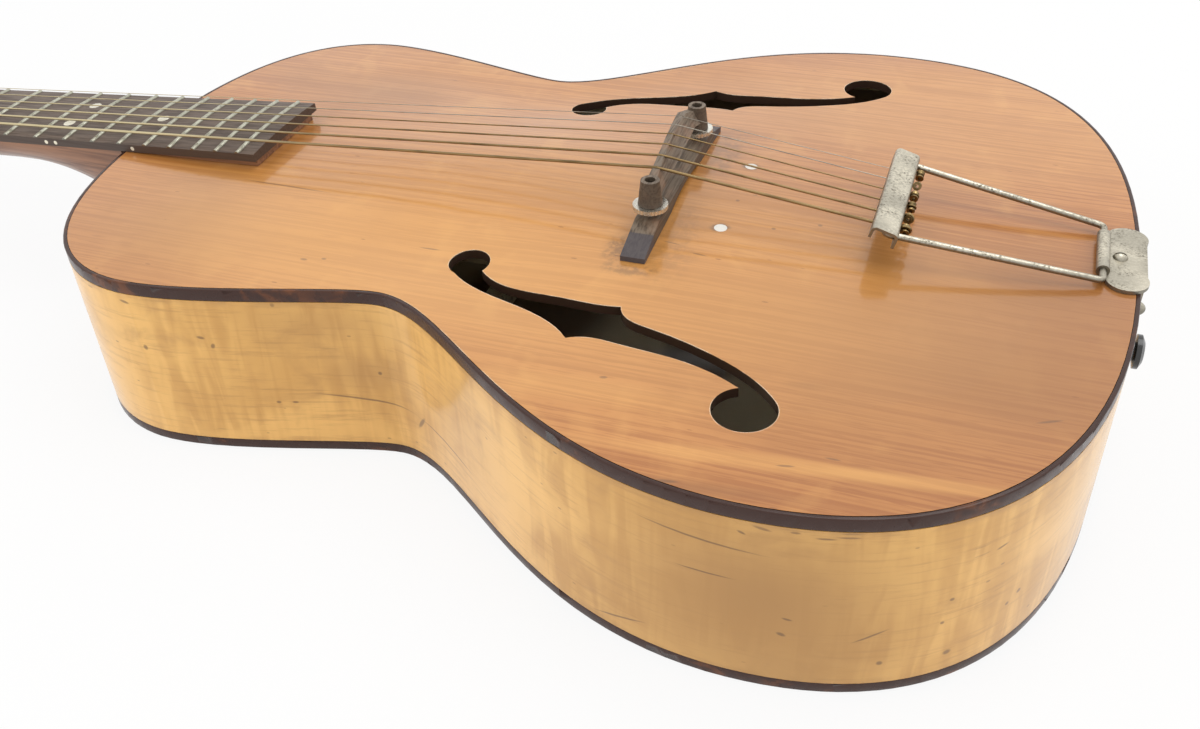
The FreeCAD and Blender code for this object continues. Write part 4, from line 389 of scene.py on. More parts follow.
# grime by the bridge's foot, painted shadow beside the bridge base, and dark rings round the plugs: place,
# half lengths, turn about the upright axis, share
TOP_GRIME_AND_SHADOW = (
    ((-0.011, -0.054, 0.09), (0.008, 0.014, 0.05), 0.0, 0.5),
    ((-0.002, -0.0665, 0.09), (0.017, 0.006, 0.05), 0.1, 0.45),
    # the next two rows: painted shadow beside the bridge base, on its tail side
    ((0.012, -0.045, 0.09), (0.014, 0.04, 0.05), 0.0, 0.2),
    ((0.012, 0.04, 0.09), (0.012, 0.04, 0.05), 0.0, 0.35),
    ((0.0265, -0.0282, 0.092), (0.0058, 0.0048, 0.05), 0.0, 0.95),
    ((0.0265, 0.0282, 0.092), (0.0058, 0.0048, 0.05), 0.0, 0.95),
)
TOP_CRACKS = (
    ((-0.1784, -0.04, 0.088), (0.03, 0.0008, 0.05), -0.062),
    ((0.1643, -0.1122, 0.086), (0.006, 0.0008, 0.05), 0.45),
    ((0.0828, -0.1603, 0.086), (0.004, 0.0007, 0.05), 0.2),
    ((0.0971, -0.1525, 0.086), (0.0035, 0.0006, 0.05), 0.0),
    ((0.0466, -0.1789, 0.086), (0.006, 0.001, 0.05), 0.2),
    ((0.0228, -0.0494, 0.091), (0.0045, 0.0007, 0.05), -0.1),
    ((0.01, -0.0447, 0.091), (0.005, 0.0005, 0.05), -0.1),
    ((0.0281, -0.0045, 0.092), (0.0012, 0.0011, 0.05), 0.0),
    ((0.0479, -0.0217, 0.091), (0.0013, 0.0011, 0.05), 0.0),
    ((0.066, -0.0126, 0.09), (0.0014, 0.0012, 0.05), 0.0),
    ((0.0095, -0.1325, 0.086), (0.002, 0.001, 0.05), 0.2),
    ((-0.1392, -0.0915, 0.086), (0.0022, 0.001, 0.05), 0.0),
    ((-0.131, -0.0888, 0.086), (0.0015, 0.0009, 0.05), 0.0),
    ((0.125, 0.045, 0.088), (0.005, 0.0006, 0.05), 0.1),
    ((-0.09, -0.07, 0.089), (0.006, 0.0006, 0.05), 0.0),
)
# pale streaks along the grain, and broad pale patches partly painted light: place, half lengths, turn about
# the upright axis, share
TOP_STREAKS = (
    # the next four rows: broad pale patches, partly painted light
    ((-0.05, -0.065, 0.089), (0.3, 0.13, 0.09), 0.0, 0.4),
    ((-0.11, -0.08, 0.089), (0.15, 0.06, 0.09), 0.0, 0.28),
    ((-0.11, 0.095, 0.087), (0.22, 0.11, 0.09), 0.0, 0.16),
    ((0.125, 0.12, 0.087), (0.17, 0.1, 0.09), 0.0, 0.26),
    ((0.07, -0.161, 0.086), (0.075, 0.006, 0.05), 0.1, 0.4),
    ((0.125, -0.156, 0.086), (0.055, 0.005, 0.05), 0.1, 0.4),
    ((0.000, -0.142, 0.086), (0.06, 0.01, 0.05), 0.05, 0.25),
)
# where the sound holes' rims show bright, partly chipped bare wood and partly painted highlight: place,
# half lengths, turn
HOLE_RIMS = (
    ((-0.003, -0.106, 0.086), (0.12, 0.055, 0.06), -0.43),
    ((-0.003, 0.106, 0.086), (0.12, 0.055, 0.06), 0.43),
)
# painted shade on the back's inside under the bass sound hole, round the patch that light reaches: place,
# half lengths, share
INNER_SHADES = (
    ((-0.085, 0.012, 0.003), (0.06, 0.06, 0.05), 0.9),
    ((0.013, -0.008, 0.003), (0.024, 0.03, 0.05), 0.85),
)
# darker stretches of the bass side, partly painted shade where less light falls and partly darker wood:
# place, half lengths, share
SIDE_SHADES = (
    ((-0.108, -0.109, 0.045), (0.03, 0.04, 0.018), 0.55),
    ((-0.12, -0.112, 0.07), (0.06, 0.04, 0.02), 0.45),
    ((0.08, -0.183, 0.045), (0.09, 0.06, 0.07), 1.00),
    ((-0.05, -0.118, 0.045), (0.045, 0.05, 0.06), 0.35),
    ((0.09, -0.182, 0.012), (0.08, 0.06, 0.035), 0.5),
    ((0.02, -0.172, 0.02), (0.06, 0.05, 0.04), 0.35),
)
# cracks and lines in the bass side: place, half lengths, turn about the axis across
SIDE_CRACKS = (
    ((-0.109, -0.11, 0.0298), (0.027, 0.04, 0.0007), 0.124),
    ((-0.066, -0.122, 0.0245), (0.023, 0.04, 0.0006), 0.106),
    ((-0.083, -0.111, 0.024), (0.0012, 0.04, 0.0055), 0.55),
    ((0.0595, -0.181, 0.0674), (0.028, 0.03, 0.0006), 0.063),
    ((0.0617, -0.183, 0.0522), (0.013, 0.03, 0.0005), 0.0),
    ((0.0285, -0.177, 0.0115), (0.014, 0.03, 0.0006), -0.314),
    ((0.1087, -0.179, 0.0798), (0.0048, 0.03, 0.0006), 0.0),
    ((0.108, -0.179, 0.078), (0.0048, 0.03, 0.0006), 0.0),
    ((0.1009, -0.181, 0.077), (0.0042, 0.03, 0.0006), 0.0),
    ((0.0912, -0.182, 0.0786), (0.0022, 0.03, 0.0007), 0.0),
    ((0.0804, -0.183, 0.0784), (0.004, 0.03, 0.0008), 0.2),
    ((0.0739, -0.184, 0.0749), (0.002, 0.03, 0.0007), 0.4),
    ((0.1447, -0.16, 0.0142), (0.0016, 0.03, 0.0016), 0.0),
    ((0.1412, -0.163, 0.0314), (0.0009, 0.03, 0.001), 0.0),
    ((0.1429, -0.162, 0.0425), (0.001, 0.03, 0.001), 0.0),
    ((0.162, -0.142, 0.0258), (0.0007, 0.03, 0.0011), 0.0),
    ((0.1652, -0.138, 0.029), (0.0008, 0.03, 0.0014), 0.0),
    ((0.0893, -0.183, 0.029), (0.0022, 0.03, 0.0011), 0.3),
    ((0.0909, -0.183, 0.037), (0.0024, 0.03, 0.0007), 0.2),
    ((0.123, -0.174, 0.0156), (0.0014, 0.03, 0.0014), 0.0),
    ((0.1187, -0.175, 0.0302), (0.008, 0.03, 0.0006), -0.5),
    ((0.1556, -0.15, 0.0604), (0.0022, 0.03, 0.0007), -0.3),
    ((-0.1703, -0.1245, 0.0572), (0.0012, 0.03, 0.0018), 0.4),
    ((-0.1747, -0.1255, 0.0614), (0.0022, 0.03, 0.001), 0.2),
    ((-0.2024, -0.129, 0.0531), (0.0014, 0.03, 0.0018), 0.0),
    ((-0.1015, -0.1072, 0.0447), (0.0012, 0.03, 0.0012), 0.0),
    ((-0.206, -0.129, 0.0763), (0.003, 0.03, 0.001), 0.2),
    ((-0.1409, -0.117, 0.0792), (0.0012, 0.03, 0.0014), 0.0),
    ((-0.1407, -0.117, 0.0274), (0.0018, 0.03, 0.0008), 0.0),
    ((-0.148, -0.1189, 0.0273), (0.0014, 0.03, 0.0009), 0.0),
)


def spruce_top(look):
    """Aged lacquered spruce with grain along the neck, stains, cracks, pale streaks, broad pale patches
    that are partly painted light, painted shade in places, rims of the sound holes that are partly chipped
    and partly painted highlight, and painted shade on their walls.
    """
    finish = Finish("spruce_top", Coat_Weight=1.0, Coat_Roughness=0.11, Specular_IOR_Level=0.2)
    lines = 1.0 / look.grain_width
    grain = finish.noise((5.0, lines, 5.0), detail=2.0, roughness=0.45)
    dashes = finish.noise((70.0, 1.3 * lines, 70.0), detail=1.0)
    streaks = finish.noise((2.2, 55.0, 3.0), detail=4.0, distortion=0.5)
    clouds = finish.noise((8.0, 13.0, 8.0), detail=4.0, distortion=0.6)
    silk = finish.noise((38.0, 26.0, 30.0), detail=3.0, distortion=0.4)
    wood = finish.mix(finish.band(grain, 0.38, 0.66, 0.0, 0.85), look.top_light, look.top_dark)
    wood = finish.mix(finish.band(dashes, 0.54, 0.70, 0.0, 0.70), wood, look.top_dark)
    wood = finish.mix(finish.band(streaks, 0.48, 0.74, 0.0, 0.14), wood, look.top_dark)
    wood = finish.mix(finish.band(streaks, 0.44, 0.26, 0.0, 0.14), wood, look.top_glow)
    wood = finish.mix(finish.band(silk, 0.50, 0.74, 0.0, 0.30), wood, look.top_dark)
    wood = finish.mix(finish.band(silk, 0.46, 0.28, 0.0, 0.22), wood, look.top_glow)
    wood = finish.mix(finish.band(clouds, 0.50, 0.80, 0.0, 0.26), wood, look.top_stain_and_shade)
    # cloud mask that breaks up the marks on the top, painted shade among them
    worn = finish.band(clouds, 0.25, 0.60, 0.35, 1.0)
    for centre, radii, turn, share in TOP_STAINS_AND_SHADE:
        spot = finish.both(finish.top_patch(centre, radii, turn), worn)
        wood = finish.stain(wood, look.top_stain_and_shade, spot, share)
    for centre, radii, turn, share in TOP_STREAKS:
        wood = finish.stain(wood, look.top_glow, finish.top_patch(centre, radii, turn), share, 0.3)
    specks = finish.spots((34.0, 110.0, 60.0), 0.060)
    wood = finish.mix(finish.both(specks, 0.55), wood, look.top_stain_and_shade)
    grains = finish.noise(even(210.0), detail=4.0, roughness=0.7)
    grit = finish.band(grains, 0.34, 0.66, 0.20, 1.0)
    for centre, radii, turn, share in TOP_GRIME_AND_SHADOW:
        spot = finish.both(finish.top_patch(centre, radii, turn), grit)
        wood = finish.stain(wood, look.top_grime_and_shadow, spot, share, 0.35)
    for centre, radii, turn in TOP_CRACKS:
        wood = finish.stain(wood, look.top_grime_and_shadow, finish.top_patch(centre, radii, turn), 0.50, 0.4)
    # the sound holes' cut walls, which do not face up, get a dark stain, darkened further as painted shade
    upright = finish.math("ABSOLUTE", finish.upward())
    wood = finish.mix(finish.band(upright, 0.55, 0.35), wood, look.hole_edge)
    # bright upper rims of the sound holes: partly chipped finish, partly painted highlight
    rim_breakup = finish.band(finish.noise(even(45.0), detail=4.0, roughness=0.65), 0.40, 0.56)
    edge = finish.both(finish.edge(RIM_WIDTH), rim_breakup)
    for centre, radii, turn in HOLE_RIMS:
        near = finish.band(finish.top_patch(centre, radii, turn), 0.0, 0.15)
        wood = finish.mix(finish.both(edge, near), wood, look.rim_chip_and_highlight)
    finish.colour(wood)
    finish.rough(finish.band(clouds, 0.3, 0.8, 0.34, 0.50))
    height = finish.math("ADD", grain, finish.both(dashes, 0.6))
    finish.bump(height, 0.00012, 0.30)
    return finish


def maple(name, look, curl_axes):
    """Lacquered maple with a faint curl across its grain, shade, specks and dark lines."""
    finish = Finish(name, Coat_Weight=0.6, Coat_Roughness=0.12, Specular_IOR_Level=0.25)
    curls = 1.0 / look.curl_width
    curl = finish.noise([curls * a + 12.0 * (1 - a) for a in curl_axes], detail=2.0, distortion=1.3)
    along = finish.noise([30.0 * a + 520.0 * (1 - a) for a in curl_axes], detail=4.0, roughness=0.70)
    clouds = finish.noise((11.0, 11.0, 17.0), detail=4.0, distortion=0.7)
    blots = finish.noise((34.0, 34.0, 46.0), detail=4.0, distortion=0.5)
    figured = finish.band(clouds, 0.34, 0.60)
    amount = finish.both(finish.band(curl, 0.36, 0.64, 0.0, 0.95), figured)
    wood = finish.mix(amount, look.side_light, look.side_dark)
    wood = finish.mix(finish.band(clouds, 0.42, 0.72, 0.0, 0.75), wood, look.side_dark)
    wood = finish.mix(finish.band(blots, 0.52, 0.76, 0.0, 0.50), wood, look.side_old_and_painted_shade)
    wood = finish.mix(finish.band(along, 0.50, 0.70, 0.0, 0.42), wood, look.side_old_and_painted_shade)
    specks = finish.spots([48.0 * a + 110.0 * (1 - a) for a in curl_axes], 0.060)
    wood = finish.mix(finish.both(specks, 0.45), wood, look.side_dirt)
    lines = finish.noise([38.0 * a + 520.0 * (1 - a) for a in curl_axes], detail=1.0, distortion=0.2)
    rare = finish.both(finish.band(lines, 0.72, 0.76), finish.band(blots, 0.45, 0.60))
    wood = finish.mix(finish.both(rare, 0.25), wood, look.side_dirt)
    finish.wood = wood
    finish.colour(wood)
    finish.rough(finish.band(clouds, 0.3, 0.8, 0.34, 0.48))
    finish.bump(finish.math("ADD", curl, along), 0.00012, 0.22)
    return finish


def bent_side(look):
    """Maple of the ribs, with the bass side's cracks, darker stretches that are partly painted shade, dirt
    by the bindings and painted shade on the treble rib's inside.
    """
    finish = maple("maple_side", look, (1.0, 1.0, 0.0))
    wood = finish.wood
    # darker stretches of the bass side, partly painted shade
    for centre, radii, share in SIDE_SHADES:
        wood = finish.stain(wood, look.side_old_and_painted_shade, finish.patch(centre, radii), share)
    for centre, radii, turn in SIDE_CRACKS:
        wood = finish.stain(wood, look.side_dirt, finish.patch(centre, radii, (0.0, turn, 0.0)), 0.65, 0.4)
    blots = finish.noise((60.0, 60.0, 90.0), detail=3.0)
    height = finish.axis("Z")
    under_top = finish.both(finish.band(height, *DIRT_UNDER_TOP), finish.band(blots, 0.35, 0.6))
    over_back = finish.both(finish.band(height, *DIRT_OVER_BACK), finish.band(blots, 0.40, 0.65))
    wood = finish.mix(finish.both(under_top, 0.60), wood, look.side_old_and_painted_shade)
    wood = finish.mix(finish.both(over_back, 0.45), wood, look.side_old_and_painted_shade)
    # painted shade: the treble rib's inside face, seen through the sound hole, is darkened
    across = finish.axis("Y")
    inward = finish.both(across, finish.axis("Y", finish.coords.outputs["Normal"]))
    inner = finish.both(finish.band(inward, -0.01, -0.04), finish.band(across, *TREBLE_SIDE))
    wood = finish.mix(inner, wood, look.painted_inner_shade)
    finish.colour(wood)
    return finish


def flat_back(look):
    """Maple of the back, lacquered outside and raw inside, with painted shade round a lit patch inside."""
    finish = maple("maple_back", look, (0.0, 1.0, 0.0))
    inside = finish.band(finish.axis("Z"), *BACK_INSIDE)
    raw = look.raw_wood
    # painted shade: darker stretches round the patch lit through the sound hole
    for centre, radii, share in INNER_SHADES:
        raw = finish.stain(raw, look.painted_inner_shade, finish.patch(centre, radii), share, 0.5)
    finish.colour(finish.mix(inside, finish.wood, raw))
    return finish


def tortoise(look):
    """Dark, polished tortoise plastic with amber flecks."""
    finish = Finish("tortoise_binding", Coat_Weight=0.1, Coat_Roughness=0.05, Specular_IOR_Level=0.28)
    flecks = finish.noise((30.0, 30.0, 50.0), detail=3.0, distortion=1.0)
    cloud = finish.noise(even(170.0), detail=2.0)
    amount = finish.both(finish.band(flecks, 0.56, 0.74), finish.band(cloud, 0.30, 0.60))
    finish.colour(finish.mix(amount, look.binding_dark, look.binding_fleck))
    finish.rough(finish.band(cloud, 0.3, 0.7, 0.22, 0.34))
    finish.bump(cloud, 0.0001, 0.2)
    return finish


def straight_wood(name, light, dark, pores, roughness, coat=0.0, sides=0.0):
    """Straight-grained wood with pores along the neck, and painted shade on the sides where a share is
    given.
    """
    finish = Finish(name, Coat_Weight=coat, Coat_Roughness=0.2)
    grain = finish.noise((14.0, pores, pores), detail=3.0, roughness=0.6)
    broad = finish.noise((5.0, 60.0, 60.0), detail=2.0, distortion=0.4)
    wood = finish.mix(finish.band(grain, 0.35, 0.7), light, dark)
    wood = finish.mix(finish.band(broad, 0.45, 0.75, 0.0, 0.5), wood, dark)
    # painted shade: faces that do not point up are darkened by the share given
    wood = finish.mix(finish.band(finish.upward(), 0.70, 0.30, 0.0, sides), wood, dark)
    finish.colour(wood)
    finish.rough(finish.band(grain, 0.3, 0.7, roughness, roughness + 0.15))
    finish.bump(grain, 0.0002, 0.4)
    return finish


def bridge_wood(look):
    """Dry, greyed wood with pores along the bridge, rubbed patches, painted shade on its sides and a
    painted slate-grey sheen on its ends.
    """
    finish = Finish("bridge_rosewood", Specular_IOR_Level=0.35)
    grain = finish.noise((1100.0, 60.0, 1100.0), detail=3.0, roughness=0.6)
    broad = finish.noise((150.0, 22.0, 150.0), detail=3.0, distortion=0.4)
    wood = finish.mix(finish.band(grain, 0.40, 0.68), look.bridge_light, look.bridge_dark)
    wood = finish.mix(finish.band(broad, 0.48, 0.74, 0.0, 0.65), wood, look.bridge_dark)
    rubbed = finish.noise((70.0, 45.0, 70.0), detail=3.0, distortion=0.4)
    wood = finish.mix(finish.band(rubbed, 0.50, 0.66, 0.0, 0.55), wood, look.bridge_brown)
    # painted shade: the bridge's sides, which do not face up, are darkened
    shade = darker(look.bridge_dark, 0.6)
    wood = finish.mix(finish.band(finish.upward(), 0.60, 0.05, 0.0, 0.70), wood, shade)
    # painted sheen: the end facets beyond the feet turn slate-grey
    away = finish.math("ABSOLUTE", finish.axis("Y"))
    wood = finish.mix(finish.band(away, *BRIDGE_END, 0.0, 0.85), wood, look.painted_end_sheen)
    finish.colour(wood)
    finish.rough(finish.band(grain, 0.3, 0.7, 0.42, 0.62))
    finish.bump(grain, 0.0003, 0.5)
    return finish


def plated(name, metal, tarnish, pits, roughness=0.28, wear=0.85, sides=0.75):
    """Plated metal with bright grains and dull patches that are partly painted glints and darker
    reflections, dark pits, cloudy tarnish, and painted shade on the sides that do not face up.
    """
    finish = Finish(name, Metallic=1.0)
    fine = finish.noise(even(pits), detail=5.0, roughness=0.75)
    cloud = finish.noise(even(pits / 9), detail=4.0)
    dark = finish.spots(even(pits * 0.6), 0.26)
    # bright grains: partly pale spots in the plate, partly painted glints
    bright = [min(0.95, 1.30 * part) for part in metal]
    surface = finish.mix(finish.band(fine, 0.52, 0.36, 0.0, 0.75), metal, bright)
    grains = finish.both(finish.band(fine, 0.48, 0.66), finish.band(cloud, 0.40, 0.58, 0.06, wear))
    surface = finish.mix(grains, surface, tarnish)
    pitted = finish.both(dark, finish.band(cloud, 0.44, 0.54, 0.0, wear))
    surface = finish.mix(pitted, surface, darker(tarnish, 0.45))
    # dull patches: partly tarnish, partly painted darker reflection
    patches = finish.noise(even(pits / 16), detail=2.0)
    dull_tarnish_and_reflection = finish.band(patches, 0.42, 0.66, 0.0, 0.6 * wear)
    surface = finish.mix(dull_tarnish_and_reflection, surface, darker(metal, 0.45))
    # painted shade: faces that do not point up are darkened, standing in for shade and darker reflection on
    # the sides
    painted_side_shade = finish.band(finish.upward(), 0.85, 0.05, 0.0, sides)
    surface = finish.mix(painted_side_shade, surface, darker(metal, 0.30))
    finish.colour(surface)
    finish.rough(finish.band(fine, 0.35, 0.7, roughness, roughness + 0.28))
    finish.bump(finish.math("SUBTRACT", fine, pitted), 0.00012, 0.40)
    return finish


def moulded(name, base, shade, roughness=0.3, coat=0.3):
    """Plain moulded or polished material with a faint cloud in it."""
    finish = Finish(name, Coat_Weight=coat, Coat_Roughness=0.1)
    cloud = finish.noise(even(220.0), detail=3.0)
    finish.colour(finish.mix(finish.band(cloud, 0.35, 0.7), base, darker(base, shade)))
    finish.rough(finish.band(cloud, 0.3, 0.7, roughness, roughness + 0.12))
    finish.bump(cloud, 0.00005, 0.3)
    return finish


def wound(name, metal, worn, turns):
    """Metal string with its winding across its length, rubbed bright over the fretboard."""
    finish = Finish(name, Metallic=1.0)
    winding = finish.node("TexWave", wave_type="BANDS", bands_direction="X")
    winding.inputs["Scale"].default_value = turns
    finish.feed(winding.inputs["Vector"], finish.place)
    cloud = finish.noise((60.0, 400.0, 400.0), detail=2.0)
    surface = finish.mix(finish.band(cloud, 0.4, 0.75), metal, darker(metal, 0.55))
    finish.colour(finish.mix(finish.band(finish.axis("X"), *RUBBED_STRING), surface, worn))
    finish.rough(finish.band(cloud, 0.3, 0.7, 0.3, 0.45))
    finish.bump(winding.outputs["Fac"], 0.00008, 0.3)
    return finish


# new pieces

def add_piece(name, shape):
    """Makes an object of a finished bmesh, at the origin."""
    mesh = bpy.data.meshes.new(name)
    shape.to_mesh(mesh)
    shape.free()
    mesh.shade_smooth()
    piece = bpy.data.objects.new(name, mesh)
    bpy.context.scene.collection.objects.link(piece)
    return piece


def edged_piece(name, shape):
    """Makes an object of a finished bmesh whose corners stay sharp."""
    piece = add_piece(name, shape)
    piece.data.set_sharp_from_angle(angle=SMOOTH_BELOW)
    return piece


def merged_copy(node):
    """Gives a CAD node's shape with its loose triangles joined."""
    shape = bmesh.new()
    shape.from_mesh(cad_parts[node].data)
    bmesh.ops.remove_doubles(shape, verts=shape.verts, dist=JOIN_WITHIN)
    return shape


def rounded_strip(name, node, rounding):
    """Copies a binding with its long edges rounded."""
    shape = merged_copy(node)
    bmesh.ops.dissolve_limit(shape, angle_limit=FLAT_WITHIN, verts=shape.verts, edges=shape.edges)
    sharp = [edge for edge in shape.edges if edge.is_manifold and edge.calc_face_angle() > BINDING_CORNER]
    bmesh.ops.bevel(shape, geom=sharp, offset=rounding, offset_type="OFFSET", affect="EDGES",
                    segments=EDGE_STEPS, profile=0.5, material=-1)
    bmesh.ops.recalc_face_normals(shape, faces=shape.faces)
    return edged_piece(name, shape)


def node_points(name):
    """Gives a CAD node's points."""
    return [vertex.co.copy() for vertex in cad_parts[name].data.vertices]


def slice_centre(points, place, reach):
    """Gives the middle and the width of a node's points near a place along the guitar."""
    near = [point for point in points if abs(point.x - place) < reach]
    low = Vector([min(point[axis] for point in near) for axis in range(3)])
    high = Vector([max(point[axis] for point in near) for axis in range(3)])
    return (low + high) / 2, high.y - low.y


def straight_string(name, start, end, diameter):
    """Makes a straight round length of string between two points."""
    shape = bmesh.new()
    span = end - start
    turn = span.to_track_quat("Z", "Y").to_matrix().to_4x4()
    bmesh.ops.create_cone(
        shape, cap_ends=True, segments=STRING_SIDES, radius1=diameter / 2, radius2=diameter / 2,
        depth=span.length, matrix=Matrix.Translation((start + end) / 2) @ turn)
    return edged_piece(name, shape)


def string_wraps(name, node, place):
    """Copies the end of a CAD string that lies beyond a place towards the tuners."""
    shape = merged_copy(node)
    geometry = shape.verts[:] + shape.edges[:] + shape.faces[:]
    bmesh.ops.bisect_plane(shape, geom=geometry, plane_co=(place, 0.0, 0.0), plane_no=(1.0, 0.0, 0.0),
                           clear_outer=True)
    return add_piece(name, shape)


def spun(shape, profile, centre, axis):
    """Turns a closed profile of points about an axis."""
    corners = [shape.verts.new(point) for point in profile]
    edges = [shape.edges.new(pair) for pair in zip(corners, corners[1:] + corners[:1])]
    bmesh.ops.spin(shape, geom=corners + edges, cent=centre, axis=axis, angle=2 * pi,
                   steps=RING_STEPS, use_merge=True)


def ball_ring(name, centre, radius, width, wire, lean):
    """Makes the grooved ring at a string's end, with the string looped in its groove."""
    shape = bmesh.new()
    axis = Matrix.Rotation(lean, 3, "X") @ Vector((0.0, 1.0, 0.0))
    out = Vector((1.0, 0.0, 0.0))
    half = ((RING_BORE, RING_FACE), (1.0, RING_FACE), (1.0, RING_SHOULDER),
            (RING_GROOVE, RING_GROOVE_EDGE))
    section = (*half, *((across, -along) for across, along in reversed(half)))
    spun(shape, [centre + out * radius * across + axis * width * along for across, along in section],
         centre, axis)
    loop = centre + out * (radius * RING_GROOVE + wire / 2)
    turns = [2 * pi * step / LOOP_SIDES for step in range(LOOP_SIDES)]
    spun(shape, [loop + (out * cos(turn) + axis * sin(turn)) * wire / 2 for turn in turns], centre, axis)
    bmesh.ops.recalc_face_normals(shape, faces=shape.faces)
    return edged_piece(name, shape)


def screw_dome(name, node, rise):
    """Makes a round dome over a node's lowest screw, which points along the guitar."""
    low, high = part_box(node)
    radius = (high.y - low.y) / 2 * DOME_SPREAD
    seat = Vector((high.x - SCREW_HEAD, (low.y + high.y) / 2, low.z + (high.y - low.y) / 2))
    shape = bmesh.new()
    swell = Matrix.Diagonal((rise, radius, radius, 1.0))
    bmesh.ops.create_uvsphere(shape, u_segments=DOME_STEPS, v_segments=DOME_RINGS, radius=1.0,
                              matrix=Matrix.Translation(seat) @ swell)
    geometry = shape.verts[:] + shape.edges[:] + shape.faces[:]
    bmesh.ops.bisect_plane(shape, geom=geometry, dist=CUT_WITHIN, plane_co=seat,
                           plane_no=(-1.0, 0.0, 0.0), clear_outer=True)
    bmesh.ops.holes_fill(shape, edges=[edge for edge in shape.edges if edge.is_boundary])
    bmesh.ops.recalc_face_normals(shape, faces=shape.faces)
    return edged_piece(name, shape)


# operators

class GUITAR_OT_top(bpy.types.Operator):
    """Lacquers the arched top and fills in its plugs"""
    bl_idname = "guitar.top"
    bl_label = "Arched top"

    def execute(self, context):
        look = context.scene.guitar_finish
        paint(spruce_top(look), "top_plate")
        paint(moulded("white_plug", look.plug, 0.85), "top_plugs")
        return {"FINISHED"}


class GUITAR_OT_sides(bpy.types.Operator):
    """Finishes the ribs and the back"""
    bl_idname = "guitar.sides"
    bl_label = "Sides and back"

    def execute(self, context):
        look = context.scene.guitar_finish
        paint(bent_side(look), "rib_bass", "rib_treble")
        paint(flat_back(look), "back_plate")
        return {"FINISHED"}


class GUITAR_OT_binding(bpy.types.Operator):
    """Replaces the two bindings by polished ones with rounded edges"""
    bl_idname = "guitar.binding"
    bl_label = "Bindings"

    def execute(self, context):
        look = context.scene.guitar_finish
        finish = tortoise(look)
        for node in ("top_binding", "back_binding"):
            piece = rounded_strip(node + "_polished", node, look.binding_round)
            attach(piece, "guitar")
            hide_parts(node)
            paint(finish, piece.name)
        return {"FINISHED"}


class GUITAR_OT_inside(bpy.types.Operator):
    """Finishes the linings, blocks and bars inside the body"""
    bl_idname = "guitar.inside"
    bl_label = "Inside of the body"

    def execute(self, context):
        look = context.scene.guitar_finish
        raw = straight_wood("inner_spruce", look.raw_wood, darker(look.raw_wood, 0.6), 300.0, 0.6)
        paint(raw, "top_lining", "back_lining", "neck_block", "tail_block", "tone_bars", "back_braces")
        return {"FINISHED"}


class GUITAR_OT_neck(bpy.types.Operator):
    """Finishes the neck, the fretboard and what is set in it"""
    bl_idname = "guitar.neck"
    bl_label = "Neck and fretboard"

    def execute(self, context):
        look = context.scene.guitar_finish
        paint(straight_wood("neck_wood", look.neck_light, look.neck_dark, 500.0, 0.3, 0.4),
              "neck", "board_riser")
        # the fretboard gets painted shade on its sides
        paint(straight_wood("fretboard_rosewood", look.rosewood_light, look.rosewood_dark, 800.0, 0.4,
                            sides=0.9),
              "fretboard")
        paint(plated("fret_wire", look.fret_metal, look.nickel_pit, 500.0, 0.25, 0.35), "frets")
        paint(moulded("pearl_dot", look.pearl, 0.8, 0.2), "position_dots", "side_dots")
        paint(moulded("bone_nut", look.bone, 0.85, 0.35), "nut")
        paint(moulded("head_facing", look.facing, 0.7, 0.25, 0.5), "headstock_overlay")
        paint(plated("rod_steel", look.steel, look.nickel_pit, 200.0), "neck_rod")
        return {"FINISHED"}


class GUITAR_OT_tuners(bpy.types.Operator):
    """Finishes the tuner plates, worms, gears and buttons"""
    bl_idname = "guitar.tuners"
    bl_label = "Tuners"

    def execute(self, context):
        look = context.scene.guitar_finish
        paint(plated("tuner_nickel", look.nickel, look.nickel_pit, 800.0),
              "tuner_plate_bass", "tuner_plate_treble", "tuner_screws", "tuner_ferrules")
        paint(plated("worm_steel", look.nickel, look.nickel_pit, 700.0, 0.25),
              *("tuner_worm_%d" % number for number in NUMBERS))
        paint(plated("gear_brass", look.brass, look.nickel_pit, 600.0, 0.3),
              *("tuner_gear_%d" % number for number in NUMBERS))
        paint(moulded("button_cream", look.button, 0.82, 0.22, 0.5),
              *("tuner_button_%d" % number for number in NUMBERS))
        return {"FINISHED"}


class GUITAR_OT_bridge(bpy.types.Operator):
    """Finishes the bridge, its posts and thumbwheels"""
    bl_idname = "guitar.bridge"
    bl_label = "Bridge"

    def execute(self, context):
        look = context.scene.guitar_finish
        paint(bridge_wood(look), "bridge_base", "bridge_saddle")
        paint(plated("bridge_nickel", look.wheel_metal, look.nickel_pit, 900.0, 0.20, 0.25, 0.20),
              "bridge_posts", "thumbwheel_bass", "thumbwheel_treble")
        return {"FINISHED"}


class GUITAR_OT_tailpiece(bpy.types.Operator):
    """Finishes the tailpiece, its hanger and the end pin"""
    bl_idname = "guitar.tailpiece"
    bl_label = "Tailpiece"

    def execute(self, context):
        look = context.scene.guitar_finish
        paint(plated("tailpiece_nickel", look.nickel, look.nickel_pit, 800.0, 0.3),
              "tailpiece_bar", "tailpiece_wire", "tailpiece_hanger", "hanger_screws")
        paint(moulded("end_pin_black", look.pin, 0.6, 0.25, 0.5), "end_pin")
        dome = screw_dome("leg_screw_dome", "hanger_screws", look.screw_rise)
        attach(dome, "guitar")
        paint(plated("screw_nickel", look.nickel, look.nickel_pit, 900.0), dome.name)
        return {"FINISHED"}


